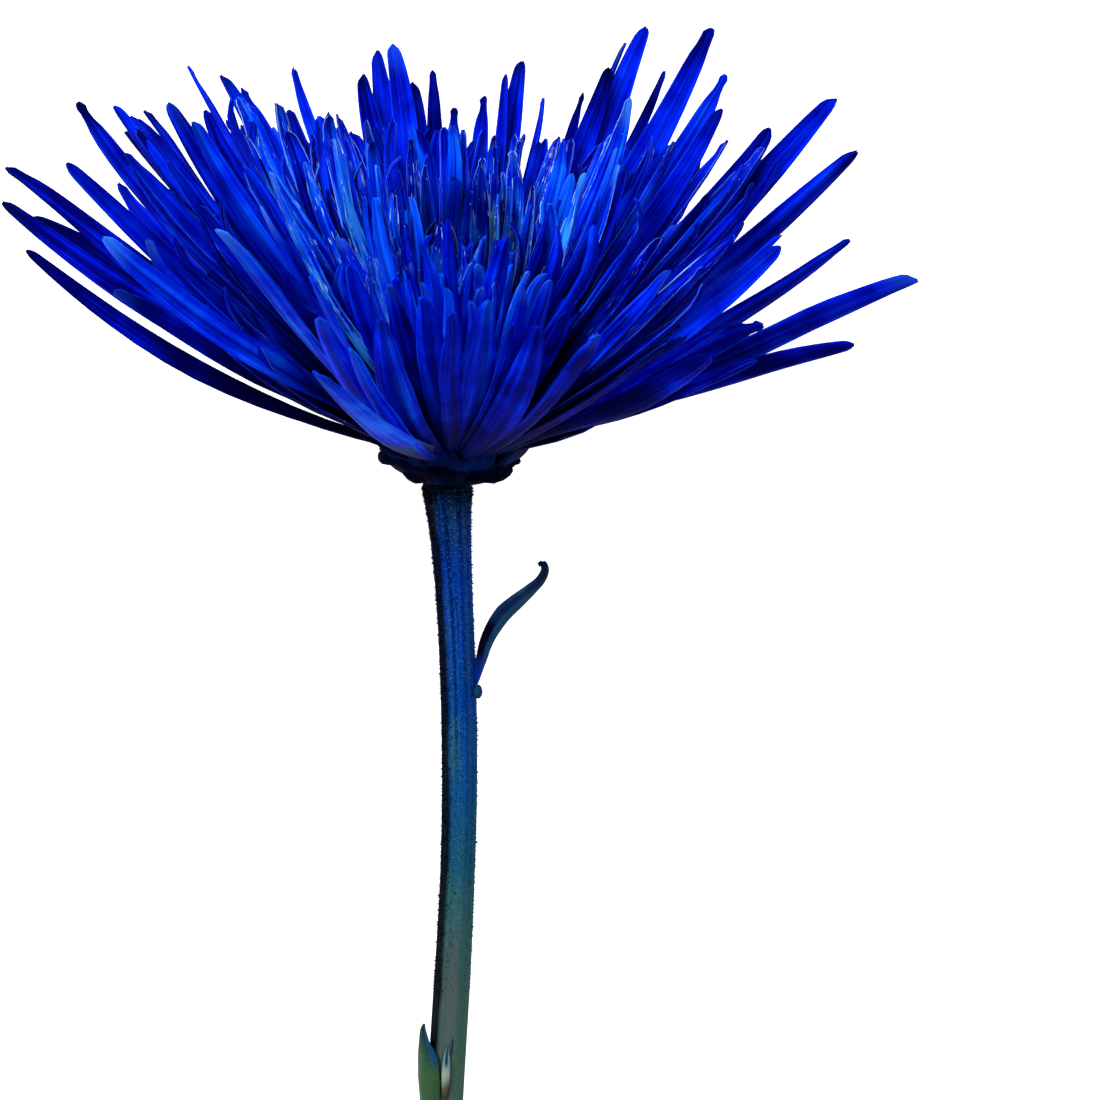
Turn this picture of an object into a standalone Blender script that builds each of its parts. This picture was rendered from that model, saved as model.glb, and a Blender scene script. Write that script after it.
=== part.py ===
"""A spider chrysanthemum, dyed blue: one cut flower that lies on its side.

The flower is modelled upright and in millimetres: the origin is where the stem meets
the calyx, X points right, Y points back and Z runs up the stem into the bloom. An
empty then lays it down with the stem along the world's Y, so that the bloom rests on
two of its back florets and the stem on its cut end.
"""

import math
import random

import bmesh
import bpy
import numpy as np
from mathutils import Matrix, Vector

MM = 0.001
GAP = 0.3  # between neighbouring nodes
AXIS = Vector((0, 0, 1))

# How the flower lies
STEM_LENGTH = 220.0
STEM_END_RADIUS = 3.0
HEAD_HEIGHT = 49.5  # from the floor to the stem's top
HEAD_LEAN = math.radians(5)  # of the head to the right of the stem
LYING_TILT = math.asin((HEAD_HEIGHT - STEM_END_RADIUS) / STEM_LENGTH)
UP = Vector((0, -math.cos(LYING_TILT), math.sin(LYING_TILT)))  # the world's up, in the flower's frame

# Calyx and the core that carries the florets
CALYX_TOP = 6.0
CALYX_PROFILE = ((3.4, 0.0), (6.4, 1.2), (8.8, 3.4), (9.0, CALYX_TOP))  # radius, height
CALYX_SIDES = 20
BRACT_ROWS = ((6, 3.9, 0.35, 8.2), (8, 5.8, 0.0, 7.0))  # count, tip height, turn, width
BRACT_PROUD = 0.9  # how far a bract stands out of the cup, and how deep it sits in it
BRACT_DEPTH = 1.8
# Loose bracts that droop from the cup's side: bearing, root height, tip radius, tip height, width
LOOSE_BRACTS = ((202, 3.8, 8.9, 0.3, 6.0), (236, 3.2, 6.6, -1.7, 5.6), (322, 4.2, 9.0, 0.9, 5.2))
LOOSE_BRACT_ROOT = 6.0  # radius at which they start inside the cup
LOOSE_BRACT_BULGE = 2.2
LOOSE_BRACT_THICKNESS = 1.3
LOOSE_BRACT_TAPER = 0.4
BRACT_FOOT = 0.4  # height at which the bracts leave the cup
BRACT_INSET = 0.1  # of a bract's foot into the cup, and how far its tip then flares
BRACT_FLARE = 0.5
BRACT_WIDEST = 0.36  # share of a bract's length where it is widest
BRACT_ROUNDING = 1.25
BRACT_TIP_WIDTH = 0.35  # least width, as a share of the widest
CORE_RADIUS = 9.0
CORE_HALF_HEIGHT = 5.0
CORE_MIDDLE = 7.2
ROOT_DEPTH = 0.66  # a floret's root, as a share of the way from the core's middle to its skin
ROOT_SPREADING = 1.45  # roots lie further round the core than their tips' spread
ROOT_SPREAD_LIMIT = math.radians(88)

# Florets
FLORET_STATIONS = (0.0, 0.3, 0.62, 0.88, 1.0)
FLORET_WIDTHS = (0.3, 0.74, 1.0, 0.84, 0.36)  # at those stations, as a share of the width
FLORET_THICKNESS = 1.1
ROOT_THICKENING = 1.2  # thickness at the root and, less the thinning, at the tip
TIP_THINNING = 0.5
FLORET_CUP = 0.26  # how far the edges rise towards the inner face, as a share of the width
FLORET_TWIST_RATE = 1.8  # a floret has its full roll at 1 / this of its length
KNEE_CLEARANCE = 1.6  # of a floret's middle above the floor
INNER_STATIONS = (0.0, 0.4, 0.82, 1.0)
CENTRAL_STATIONS = (0.0, 0.6, 1.0)
CENTRAL_SPREAD = 11.0
INNER_SPREAD = 30.0

# Florets laid by rule, from the rim of the head to its middle
SEED = 23
RULE_COUNT = 132
RULE_WIDEST = 54.0  # spread from the axis, in degrees
RULE_CROWDING = 0.72
GOLDEN_ANGLE = math.radians(137.508)
SPREADS = (0.0, 5.0, 10.0, 20.0, 35.0, 54.0)
SIDE_LENGTHS = (11.0, 15.0, 26.0, 40.0, 52.0, 58.0)  # at those spreads, at the sides and the back
FRONT_LENGTHS = (11.0, 14.0, 23.0, 32.0, 39.0, 45.0)  # and in front
WIDTHS = (1.9, 2.2, 2.7, 3.5, 4.2, 4.4)
BENDS = (0.16, 0.15, 0.12, 0.08, 0.07, 0.06)
VIEW_RISE = math.radians(16)  # of a viewer in front who sees the outline florets above the others
RULE_CEILING = 50.0  # that viewer sees no tip laid by rule higher than this
RULE_START = (0.6, 2.0)  # where lengths are counted from: share of the core's radius, height
SPREAD_JITTER = 1.5
BEARING_JITTER = 0.08
LENGTH_DRAW = (0.9, 1.08)
WIDTH_DRAW = (0.85, 1.12)
BEND_DRAW = (0.5, 1.4)
SWAY_DRAW = 0.035
SIDE_ROLL_DRAW = (-0.4, 1.0)
ROLL_JITTER = 0.35

# Florets of the outline, chosen one by one: tip x, y, z, bend, width
OUTLINE_FLORETS = (
    (-59, -6, 36, 0.14, 4.4),
    (-63, 2, 40, 0.08, 4.6),
    (-62, 12, 42.5, 0.05, 4.4),
    (-48.5, -34, 44.5, 0.05, 5.4),
    (-52, 6, 54, 0.13, 4.4),
    (-53, -18, 52, 0.10, 4.6),
    (-47, 16, 50.4, 0.08, 4.2),
    (-42, 24, 47.3, 0.08, 4.2),
    (-45, 2, 53, 0.10, 4.4),
    (-39, -6, 57, 0.08, 4.4),
    (-36.8, 38, 50, 0.06, 4.8),
    (-32, 30, 51, 0.06, 4.4),
    (-29, 40, 46, 0.06, 4.2),
    (-21.8, 44, 47.7, 0.05, 3.2),
    (-12, 42, 47.5, 0.05, 4.4),
    (-9.8, 46, 50, 0.06, 4.2),
    (-7.4, 40, 52.6, 0.05, 4.2),
    (-2, 47, 47, 0.06, 3.8),
    (5.7, 44, 44, 0.05, 4.2),
    (10.6, 46, 48.4, 0.05, 4.2),
    (20, 44, 44.6, 0.06, 4.2),
    (25, 40, 53, 0.05, 4.8),
    (28, 42, 54.6, 0.05, 5.6),
    (31, 46, 47, 0.06, 4.6),
    (37.8, 30, 57.7, 0.06, 5.2),
    (39.6, 18, 54.5, 0.07, 4.6),
    (39, 4, 53.4, 0.08, 4.6),
    (46, 12, 48.2, 0.08, 5.4),
    (55, 14, 52.2, 0.06, 5.6),
    (57.8, 2, 48, 0.06, 5.8),
    (57, 12, 32, 0.06, 5.2),
    (47, -14, 38, 0.06, 5.4),
    (66.5, 4, 28.6, 0.05, 5.8),
    (57.5, -8, 22.6, 0.06, 5.0),
    (-18.7, -60, 32, 0.10, 6.4),
    (-32, -40, 48.5, 0.08, 5.4),
    (-4, -50, 38, 0.10, 3.3),
    (9, -54, 37, 0.12, 3.3),
    (24, -50, 34, 0.10, 3.8),
    (37, -42, 30, 0.08, 4.6),
    (50, -28, 25, 0.07, 4.6),
)
# Florets that point at the floor: tip x, z, clearance above the floor, width
FLOOR_FLORETS = (
    (-31, 38, 0.4, 4.8),
    (30, 38, 0.4, 4.8),
    (0, 33, 1.4, 4.6),
    (-15, 38, 3.0, 4.4),
    (16, 36, 3.0, 4.4),
    (-49, 32, 11.0, 4.4),
    (49, 29, 10.0, 4.4),
)
FLOOR_BEND = 0.13
OUTLINE_ROLL = (0.75, 1.2)  # how far an outline floret turns a face to the front
OUTLINE_INNER_SHARE = 0.6  # of them show the inner face

# Stem
STEM_SIDES = 24
STEM_STATIONS = (0.0, 0.02, 0.06, 0.125, 0.15, 0.2, 0.3, 0.38, 0.43, 0.52, 0.61, 0.7, 0.8, 0.86, 0.94, 1.0)
STEM_AT = (0.0, 8.0, 30.0, 60.0, 140.0, STEM_LENGTH)  # distances below the calyx
STEM_RADII = (3.1, 3.0, 2.7, 2.55, 2.75, STEM_END_RADIUS)
STEM_RIBS = 6
RIB_HEIGHT = 0.045
STEM_BOW = 1.5
STEM_BOW_LENGTH = 180.0
STEM_SAG = 1.5
CUT_SLOPE = 1.2  # of the slanted cut, longest on the floor side
SCARS = ((135.0, 40.0), (190.0, 200.0))  # distance below the calyx and bearing in degrees
SCAR_HEIGHT = 0.45
SCAR_REACH = 4.0
RIB_TWIST = 0.002  # of the ribs round the stem, in radians for each mm

# Leaves and bud on the stem
UPPER_LEAF_PATH = (
    (4.8, 0.2, -31.4),
    (5.3, -0.2, -28.4),
    (6.0, -0.8, -23.8),
    (7.3, -1.0, -20.4),
    (9.9, -0.6, -17.2),
    (12.4, 0.0, -15.2),
    (13.8, 0.4, -13.2),
    (13.4, 0.5, -12.3),
)
UPPER_LEAF_WIDTHS = (0.9, 1.5, 2.6, 3.1, 3.0, 2.3, 1.4, 0.8)
UPPER_LEAF_THICKNESS = 0.8
UPPER_LEAF_STATIONS = tuple(i / 9 for i in range(10))
UPPER_LEAF_ACROSS = Vector((1, 0.35, 0))  # its width's direction where it climbs
HOOK_ACROSS = Vector((0.4, 0.3, -1))  # and along the arm and the hook
HOOK_FROM = 0.5  # it is climbing while its direction has more upward share than this
LOWER_LEAF_FOOT = 91.5  # distance below the calyx
LOWER_LEAF_TIP = 76.3
LOWER_LEAF_BEARING = math.radians(195)
LOWER_LEAF_WRAP = math.radians(52)
LOWER_LEAF_THICKNESS = 0.8
LOWER_LEAF_BULGE = 0.7
LOWER_LEAF_FLARE = 0.25  # of its tip off the stem
LOWER_LEAF_STATIONS = (0.0, 0.25, 0.5, 0.75, 0.92, 1.0)
SEAT = 1.02  # of a leaf or bud outside the stem's ribs, as a share of the stem's radius
BUD_FOOT = 89.5
BUD_TIP = 78.0
BUD_BEARING = math.radians(276)
BUD_WIDTH = 2.3
BUD_THICKNESS = 1.5
BUD_STATIONS = (0.0, 0.2, 0.45, 0.7, 0.88, 1.0)


def clear_scene():
    for obj in list(bpy.data.objects):
        bpy.data.objects.remove(obj, do_unlink=True)


def make_material(name, colour, roughness):
    material = bpy.data.materials.new(name)
    material.use_nodes = True
    shader = material.node_tree.nodes["Principled BSDF"]
    shader.inputs["Base Color"].default_value = (*colour, 1)
    shader.inputs["Roughness"].default_value = roughness
    shader.inputs["Metallic"].default_value = 0
    return material


def add_object(name, mesh, material=None):
    obj = bpy.data.objects.new(name, mesh)
    bpy.context.scene.collection.objects.link(obj)
    if material:
        mesh.materials.clear()
        mesh.materials.append(material)
        mesh.shade_smooth()
        mesh.set_sharp_from_angle(angle=math.radians(40))
    return obj


def mesh_of(shape, name):
    """The closed shape as a mesh with its faces pointing out."""
    mesh = bpy.data.meshes.new(name)
    bmesh.ops.recalc_face_normals(shape, faces=shape.faces[:])
    if shape.calc_volume(signed=True) < 0:
        bmesh.ops.reverse_faces(shape, faces=shape.faces[:])
    shape.to_mesh(mesh)
    shape.free()
    return mesh


def tube_blank(name, sides, stations):
    """A closed tube of radius 1 with a ring of points at each station from 0 to 1 up Z.

    Each side is split from the point nearer the edge to the one nearer the keel, so
    that the two faces of a thin blade made from it are split alike.
    """
    shape = bmesh.new()
    bmesh.ops.create_cone(shape, cap_ends=True, segments=sides, radius1=1, radius2=1, depth=1)
    bmesh.ops.rotate(shape, verts=shape.verts, matrix=Matrix.Rotation(math.pi / 2, 3, "Z"))
    bmesh.ops.translate(shape, verts=shape.verts, vec=(0, 0, 0.5))
    for station in stations[1:-1]:
        everything = shape.verts[:] + shape.edges[:] + shape.faces[:]
        bmesh.ops.bisect_plane(shape, geom=everything, plane_co=(0, 0, station), plane_no=AXIS)
    for face in list(shape.faces):
        low, high = min(v.co.z for v in face.verts), max(v.co.z for v in face.verts)
        if high - low < 1e-6:
            continue
        outer = max((v for v in face.verts if v.co.z - low < 1e-6), key=lambda v: abs(v.co.x))
        inner = min((v for v in face.verts if high - v.co.z < 1e-6), key=lambda v: abs(v.co.x))
        if not any(outer in edge.verts and inner in edge.verts for edge in face.edges):
            bmesh.utils.face_split(face, outer, inner)
    return mesh_of(shape, name)


def shaped(blank, name, place):
    """A copy of the blank with each point moved to where place(x, y, u) puts it."""
    shape = bmesh.new()
    shape.from_mesh(blank)
    for vertex in shape.verts:
        vertex.co = place(*vertex.co) * MM
    return mesh_of(shape, name)


def largest_shell(mesh):
    """The mesh without its loose scraps and sealed hollows: only its largest shell stays."""
    shape = bmesh.new()
    shape.from_mesh(mesh)
    waiting = set(shape.faces)
    shells = []
    while waiting:
        shell = {waiting.pop()}
        front = list(shell)
        while front:
            face = front.pop()
            for edge in face.edges:
                for other in edge.link_faces:
                    if other in waiting:
                        waiting.remove(other)
                        shell.add(other)
                        front.append(other)
        shells.append(shell)
    largest = max(shells, key=len)
    scraps = [face for shell in shells if shell is not largest for face in shell]
    bmesh.ops.delete(shape, geom=scraps, context="FACES")
    shape.to_mesh(mesh)
    shape.free()


def fuse(base, objects):
    """Joins the objects to the base with one Boolean union, applies it and removes them."""
    group = bpy.data.collections.new("to_fuse")
    bpy.context.scene.collection.children.link(group)
    for obj in objects:
        bpy.context.scene.collection.objects.unlink(obj)
        group.objects.link(obj)
    union = base.modifiers.new("union", "BOOLEAN")
    union.operation = "UNION"
    union.operand_type = "COLLECTION"
    union.collection = group
    union.solver = "EXACT"
    graph = bpy.context.evaluated_depsgraph_get()
    fused = bpy.data.meshes.new_from_object(base.evaluated_get(graph))
    fused.name = base.name
    largest_shell(fused)
    base.modifiers.remove(union)
    base.data = fused
    for obj in list(group.objects):
        bpy.data.objects.remove(obj, do_unlink=True)
    bpy.data.collections.remove(group)


def leaned(point):
    """A point of the upright head, moved to where the head's lean takes it."""
    return Matrix.Rotation(HEAD_LEAN, 3, "Y") @ point


def raised(point, clearance):
    """The point, lifted where it is less than clearance above the floor."""
    height = HEAD_HEIGHT + point.dot(UP)
    return point + UP * max(0.0, clearance - height)


def blade_frame(along, side, roll):
    """The blade's own side and inner directions, square to the way it runs."""
    side = (side - along * side.dot(along)).normalized()
    inner = along.cross(side)
    turned_side = side * math.cos(roll) + inner * math.sin(roll)
    return turned_side, along.cross(turned_side)


class Floret:
    """A blade from its root in the core to its tip, on a curve that bends outwards."""

    def __init__(self, tip, bend, width, sway=0.0, roll=0.0):
        bearing = math.atan2(tip.y, tip.x)
        spread = math.atan2(math.hypot(tip.x, tip.y), tip.z - CORE_MIDDLE)
        turn = min(ROOT_SPREAD_LIMIT, ROOT_SPREADING * spread)
        out = CORE_RADIUS * ROOT_DEPTH * math.sin(turn)
        up = CORE_MIDDLE + CORE_HALF_HEIGHT * ROOT_DEPTH * math.cos(turn)
        self.root = leaned(Vector((out * math.cos(bearing), out * math.sin(bearing), up)))
        self.tip = tip
        self.spread = math.degrees(spread)
        self.width = width
        self.roll = roll
        chord = tip - self.root
        self.side = AXIS.cross(Vector((math.cos(bearing), math.sin(bearing), 0)))
        side, inner = blade_frame(chord.normalized(), self.side, 0)
        middle = (self.root + tip) / 2
        self.knee = raised(middle + (side * sway - inner * bend) * chord.length, KNEE_CLEARANCE)

    def place(self, x, y, u):
        """Where the blank's point at x across, y through and u along goes."""
        centre = self.root * (1 - u) ** 2 + self.knee * 2 * u * (1 - u) + self.tip * u**2
        along = ((self.knee - self.root) * (1 - u) + (self.tip - self.knee) * u).normalized()
        side, inner = blade_frame(along, self.side, self.roll * min(1.0, FLORET_TWIST_RATE * u))
        width = self.width * float(np.interp(u, FLORET_STATIONS, FLORET_WIDTHS))
        thickness = FLORET_THICKNESS * (ROOT_THICKENING - TIP_THINNING * u)
        cup = FLORET_CUP * width * abs(x)
        return centre + side * x * width / 2 + inner * (y * thickness / 2 + cup)


def outline_florets():
    draw = random.Random(SEED)
    for x, y, z, bend, width in OUTLINE_FLORETS:
        roll = draw.uniform(*OUTLINE_ROLL) * x / math.hypot(x, y)
        if draw.random() > OUTLINE_INNER_SHARE:
            roll = -roll
        yield Floret(Vector((x, y, z)), bend, width, roll=roll)
    for x, z, clearance, width in FLOOR_FLORETS:
        tip = Vector((x, 0, z))
        tip.y = (HEAD_HEIGHT + tip.dot(UP) - clearance) / -UP.y
        yield Floret(tip, FLOOR_BEND, width)


def rule_florets():
    """Florets at golden-angle steps, longest and widest at the rim of the head."""
    draw = random.Random(SEED)
    for i in range(RULE_COUNT):
        share = (i + 0.5) / RULE_COUNT
        spread = RULE_WIDEST * (1 - share) ** RULE_CROWDING
        spread += draw.uniform(-SPREAD_JITTER, SPREAD_JITTER)
        bearing = i * GOLDEN_ANGLE + draw.uniform(-BEARING_JITTER, BEARING_JITTER)
        front = max(0.0, -math.sin(bearing))
        length = float(np.interp(spread, SPREADS, SIDE_LENGTHS)) * (1 - front)
        length += float(np.interp(spread, SPREADS, FRONT_LENGTHS)) * front
        length *= draw.uniform(*LENGTH_DRAW)
        width = float(np.interp(spread, SPREADS, WIDTHS)) * draw.uniform(*WIDTH_DRAW)
        bend = float(np.interp(spread, SPREADS, BENDS)) * draw.uniform(*BEND_DRAW)
        slant = math.radians(spread)
        start, rise = RULE_START
        out = length * math.sin(slant) + CORE_RADIUS * start * min(1.0, spread / RULE_WIDEST)
        tip = Vector((out * math.cos(bearing), out * math.sin(bearing), 0))
        tip.z = CORE_MIDDLE + rise + length * math.cos(slant)
        seen_height = tip.z * math.cos(VIEW_RISE) + tip.y * math.sin(VIEW_RISE)
        tip *= min(1.0, RULE_CEILING / seen_height)
        sway = draw.uniform(-SWAY_DRAW, SWAY_DRAW)
        roll = math.cos(bearing) * draw.uniform(*SIDE_ROLL_DRAW)
        roll += draw.uniform(-ROLL_JITTER, ROLL_JITTER)
        yield Floret(leaned(tip), bend, width, sway, roll)


def make_bloom(material):
    shape = bmesh.new()
    bmesh.ops.create_uvsphere(shape, u_segments=16, v_segments=8, radius=1)
    size = (CORE_RADIUS * MM, CORE_RADIUS * MM, CORE_HALF_HEIGHT * MM)
    bmesh.ops.scale(shape, verts=shape.verts, vec=size)
    bmesh.ops.translate(shape, verts=shape.verts, vec=(0, 0, CORE_MIDDLE * MM))
    everything = shape.verts[:] + shape.edges[:] + shape.faces[:]
    foot = (0, 0, (CALYX_TOP + GAP) * MM)
    cut = bmesh.ops.bisect_plane(shape, geom=everything, plane_co=foot, plane_no=AXIS, clear_inner=True)
    rim = [part for part in cut["geom_cut"] if isinstance(part, bmesh.types.BMEdge)]
    bmesh.ops.holes_fill(shape, edges=rim)
    bmesh.ops.rotate(shape, verts=shape.verts, matrix=Matrix.Rotation(HEAD_LEAN, 3, "Y"))
    core = add_object("bloom", mesh_of(shape, "bloom"))

    outer = tube_blank("outer_blank", 4, FLORET_STATIONS)
    inner = tube_blank("inner_blank", 4, INNER_STATIONS)
    central = tube_blank("central_blank", 3, CENTRAL_STATIONS)
    florets = []
    for floret in [*outline_florets(), *rule_florets()]:
        blank = outer
        if floret.spread < INNER_SPREAD:
            blank = inner
        if floret.spread < CENTRAL_SPREAD:
            blank = central
        florets.append(add_object("floret", shaped(blank, "floret", floret.place)))
    fuse(core, florets)
    core.data.materials.clear()
    core.data.materials.append(material)
    return core


def make_calyx(material):
    """The green cup under the bloom, with two rows of bracts that overlap round it."""
    shape = bmesh.new()
    rim = [shape.verts.new((radius * MM, 0, height * MM)) for radius, height in CALYX_PROFILE]
    edges = [shape.edges.new(pair) for pair in zip(rim, rim[1:])]
    bmesh.ops.spin(
        shape, geom=rim + edges, axis=AXIS, steps=CALYX_SIDES, angle=2 * math.pi, use_merge=True
    )
    bmesh.ops.holes_fill(shape, edges=[edge for edge in shape.edges if edge.is_boundary])
    bmesh.ops.rotate(shape, verts=shape.verts, matrix=Matrix.Rotation(HEAD_LEAN, 3, "Y"))
    cup = add_object("calyx", mesh_of(shape, "calyx"))

    heights = [height for _, height in CALYX_PROFILE]
    radii = [radius for radius, _ in CALYX_PROFILE]
    blank = tube_blank("bract_blank", 4, (0.0, 0.35, 0.75, 1.0))
    bracts = []
    for count, tip_height, turn, width in BRACT_ROWS:
        for i in range(count):
            bearing = (i + turn) * 2 * math.pi / count
            out = Vector((math.cos(bearing), math.sin(bearing), 0))

            def place(x, y, u, out=out, tip_height=tip_height, width=width):
                height = BRACT_FOOT + (tip_height - BRACT_FOOT) * u
                radius = float(np.interp(height, heights, radii)) - BRACT_INSET + BRACT_FLARE * u
                narrowing = 1 - (BRACT_ROUNDING * (u - BRACT_WIDEST)) ** 2
                half = width / 2 * math.sqrt(max(BRACT_TIP_WIDTH**2, narrowing))
                across = AXIS.cross(out) * x * half
                wrap = (across.length**2) / (2 * radius)
                proud = y * (BRACT_PROUD if y > 0 else BRACT_DEPTH)
                return leaned(out * (radius - wrap + proud) + across + AXIS * height)

            bracts.append(add_object("bract", shaped(blank, "bract", place)))
    for bearing, root_height, tip_radius, tip_height, width in LOOSE_BRACTS:
        out = Vector((math.cos(math.radians(bearing)), math.sin(math.radians(bearing)), 0))
        root = out * LOOSE_BRACT_ROOT + AXIS * root_height
        tip = out * tip_radius + AXIS * tip_height
        knee = (root + tip) / 2 + out * LOOSE_BRACT_BULGE

        def droop(x, y, u, root=root, tip=tip, knee=knee, width=width, across=AXIS.cross(out)):
            centre = root * (1 - u) ** 2 + knee * 2 * u * (1 - u) + tip * u**2
            along = ((knee - root) * (1 - u) + (tip - knee) * u).normalized()
            half = width / 2 * math.sqrt(1 - 0.85 * u**3)
            thickness = LOOSE_BRACT_THICKNESS * (1 - LOOSE_BRACT_TAPER * u)
            return leaned(centre + across * x * half + along.cross(across) * y * thickness / 2)

        bracts.append(add_object("bract", shaped(blank, "bract", droop)))
    fuse(cup, bracts)
    cup.data.materials.clear()
    cup.data.materials.append(material)
    return cup


def stem_centre(below):
    """The stem's middle at a distance below the calyx; it bows, sags and meets the leaning head."""
    bow = STEM_BOW * math.sin(2 * math.pi * below / STEM_BOW_LENGTH)
    sag = STEM_SAG * math.sin(math.pi * below / STEM_LENGTH)
    return Vector((bow, sag, -below))


def stem_radius(below, bearing):
    radius = float(np.interp(below, STEM_AT, STEM_RADII))
    ribs = 1 + RIB_HEIGHT * math.cos(STEM_RIBS * (bearing + RIB_TWIST * below))
    scars = 0.0
    for at, towards in SCARS:
        away = math.hypot((below - at) / SCAR_REACH, 2 * math.sin((bearing - math.radians(towards)) / 2))
        scars += SCAR_HEIGHT * math.exp(-away * away)
    return radius * ribs + scars


def make_stem(material):
    def place(x, y, u):
        bearing = math.atan2(y, x)
        below = GAP + u * (STEM_LENGTH - GAP)
        radius = stem_radius(below, bearing) * math.hypot(x, y)
        offset = Vector((radius * math.cos(bearing), radius * math.sin(bearing), 0))
        if u == 0:
            offset.z = -offset.x * math.tan(HEAD_LEAN)
        if u == 1:
            offset.z = CUT_SLOPE * (STEM_END_RADIUS - offset.y)
        return stem_centre(below) + offset

    blank = tube_blank("stem_blank", STEM_SIDES, STEM_STATIONS)
    return add_object("stem", shaped(blank, "stem", place), material)


def curve_through(points, share):
    """The point and direction at a share of a smooth curve through the points."""
    spans = len(points) - 1
    span = min(spans - 1, int(share * spans))
    t = share * spans - span
    before, start = Vector(points[max(0, span - 1)]), Vector(points[span])
    end, after = Vector(points[span + 1]), Vector(points[min(spans, span + 2)])
    leave, arrive = (end - before) / 2, (after - start) / 2
    centre = (
        start * (1 + 2 * t) * (1 - t) ** 2
        + leave * t * (1 - t) ** 2
        + end * t * t * (3 - 2 * t)
        - arrive * t * t * (1 - t)
    )
    along = (
        (end - start) * 6 * t * (1 - t)
        + leave * (1 - t) * (1 - 3 * t)
        + arrive * t * (3 * t - 2)
    )
    return centre, along.normalized()


def make_upper_leaf(material):
    """A small strap leaf that stands away from the stem, with a hooked tip."""
    last = len(UPPER_LEAF_PATH) - 1

    def place(x, y, u):
        centre, along = curve_through(UPPER_LEAF_PATH, u)
        across = UPPER_LEAF_ACROSS if along.z > HOOK_FROM else HOOK_ACROSS
        side, inner = blade_frame(along, across, 0)
        width = float(np.interp(u * last, range(last + 1), UPPER_LEAF_WIDTHS))
        return centre + side * x * width / 2 + inner * y * UPPER_LEAF_THICKNESS / 2

    blank = tube_blank("leaf_blank", 4, UPPER_LEAF_STATIONS)
    return add_object("upper_leaf", shaped(blank, "upper_leaf", place), material)


def make_lower_leaf(material):
    """A scale leaf that wraps the left of the stem and stands off it at its pointed tip."""

    def place(x, y, u):
        below = LOWER_LEAF_FOOT + (LOWER_LEAF_TIP - LOWER_LEAF_FOOT) * u
        outline = (1 - 0.88 * u**1.6) * (0.75 + 0.5 * u - 0.25 * u * u)  # narrows to a point
        bearing = LOWER_LEAF_BEARING + x * LOWER_LEAF_WRAP * outline
        bulge = LOWER_LEAF_BULGE * math.sin(math.pi * min(1.0, u * 1.15)) + LOWER_LEAF_FLARE * u
        thickness = LOWER_LEAF_THICKNESS * (1 - 0.45 * u)
        radius = stem_radius(below, LOWER_LEAF_BEARING) * SEAT + GAP + thickness / 2
        radius += bulge + y * thickness / 2
        return stem_centre(below) + Vector((radius * math.cos(bearing), radius * math.sin(bearing), 0))

    blank = tube_blank("scale_blank", 8, LOWER_LEAF_STATIONS)
    return add_object("lower_leaf", shaped(blank, "lower_leaf", place), material)


def make_side_bud(material):
    """The dormant bud in front of the stem, above the scale leaf's foot."""

    def place(x, y, u):
        below = BUD_FOOT + (BUD_TIP - BUD_FOOT) * u
        outline = 0.45 + 2.1 * u - 1.9 * u * u - 0.5 * u**4  # a drop, fullest above its middle
        out = Vector((math.cos(BUD_BEARING), math.sin(BUD_BEARING), 0))
        across = AXIS.cross(out) * x * BUD_WIDTH / 2 * outline
        radius = stem_radius(below, BUD_BEARING) * SEAT + GAP + BUD_THICKNESS / 2 * outline
        return stem_centre(below) + across + out * (radius + y * BUD_THICKNESS / 2 * outline)

    blank = tube_blank("bud_blank", 8, BUD_STATIONS)
    return add_object("side_bud", shaped(blank, "side_bud", place), material)


def lay_down(nodes):
    """Parents the nodes to an empty that lays the flower on the floor, centred on the origin."""
    lying = add_object("lying_flower", None)
    lying.rotation_euler = (LYING_TILT - math.pi / 2, 0, 0)
    for node in nodes:
        node.parent = lying
    bpy.context.view_layer.update()
    points = [node.matrix_world @ vertex.co for node in nodes for vertex in node.data.vertices]
    low = [min(point[i] for point in points) for i in range(3)]
    high = [max(point[i] for point in points) for i in range(3)]
    lying.location = (-(low[0] + high[0]) / 2, -(low[1] + high[1]) / 2, -low[2])


def main():
    clear_scene()
    petal_blue = make_material("petal_blue", (0.0, 0.018, 0.72), 0.4)
    calyx_green = make_material("calyx_green", (0.004, 0.012, 0.03), 0.6)
    stem_green = make_material("stem_green", (0.035, 0.1, 0.12), 0.5)
    leaf_green = make_material("leaf_green", (0.012, 0.035, 0.06), 0.5)
    bud_green = make_material("bud_green", (0.12, 0.22, 0.14), 0.5)
    lay_down(
        [
            make_bloom(petal_blue),
            make_calyx(calyx_green),
            make_stem(stem_green),
            make_upper_leaf(leaf_green),
            make_lower_leaf(leaf_green),
            make_side_bud(bud_green),
        ]
    )


main()
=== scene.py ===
import math
import random

import bmesh
import bpy
import numpy as np
from mathutils import Matrix, Vector


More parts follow.
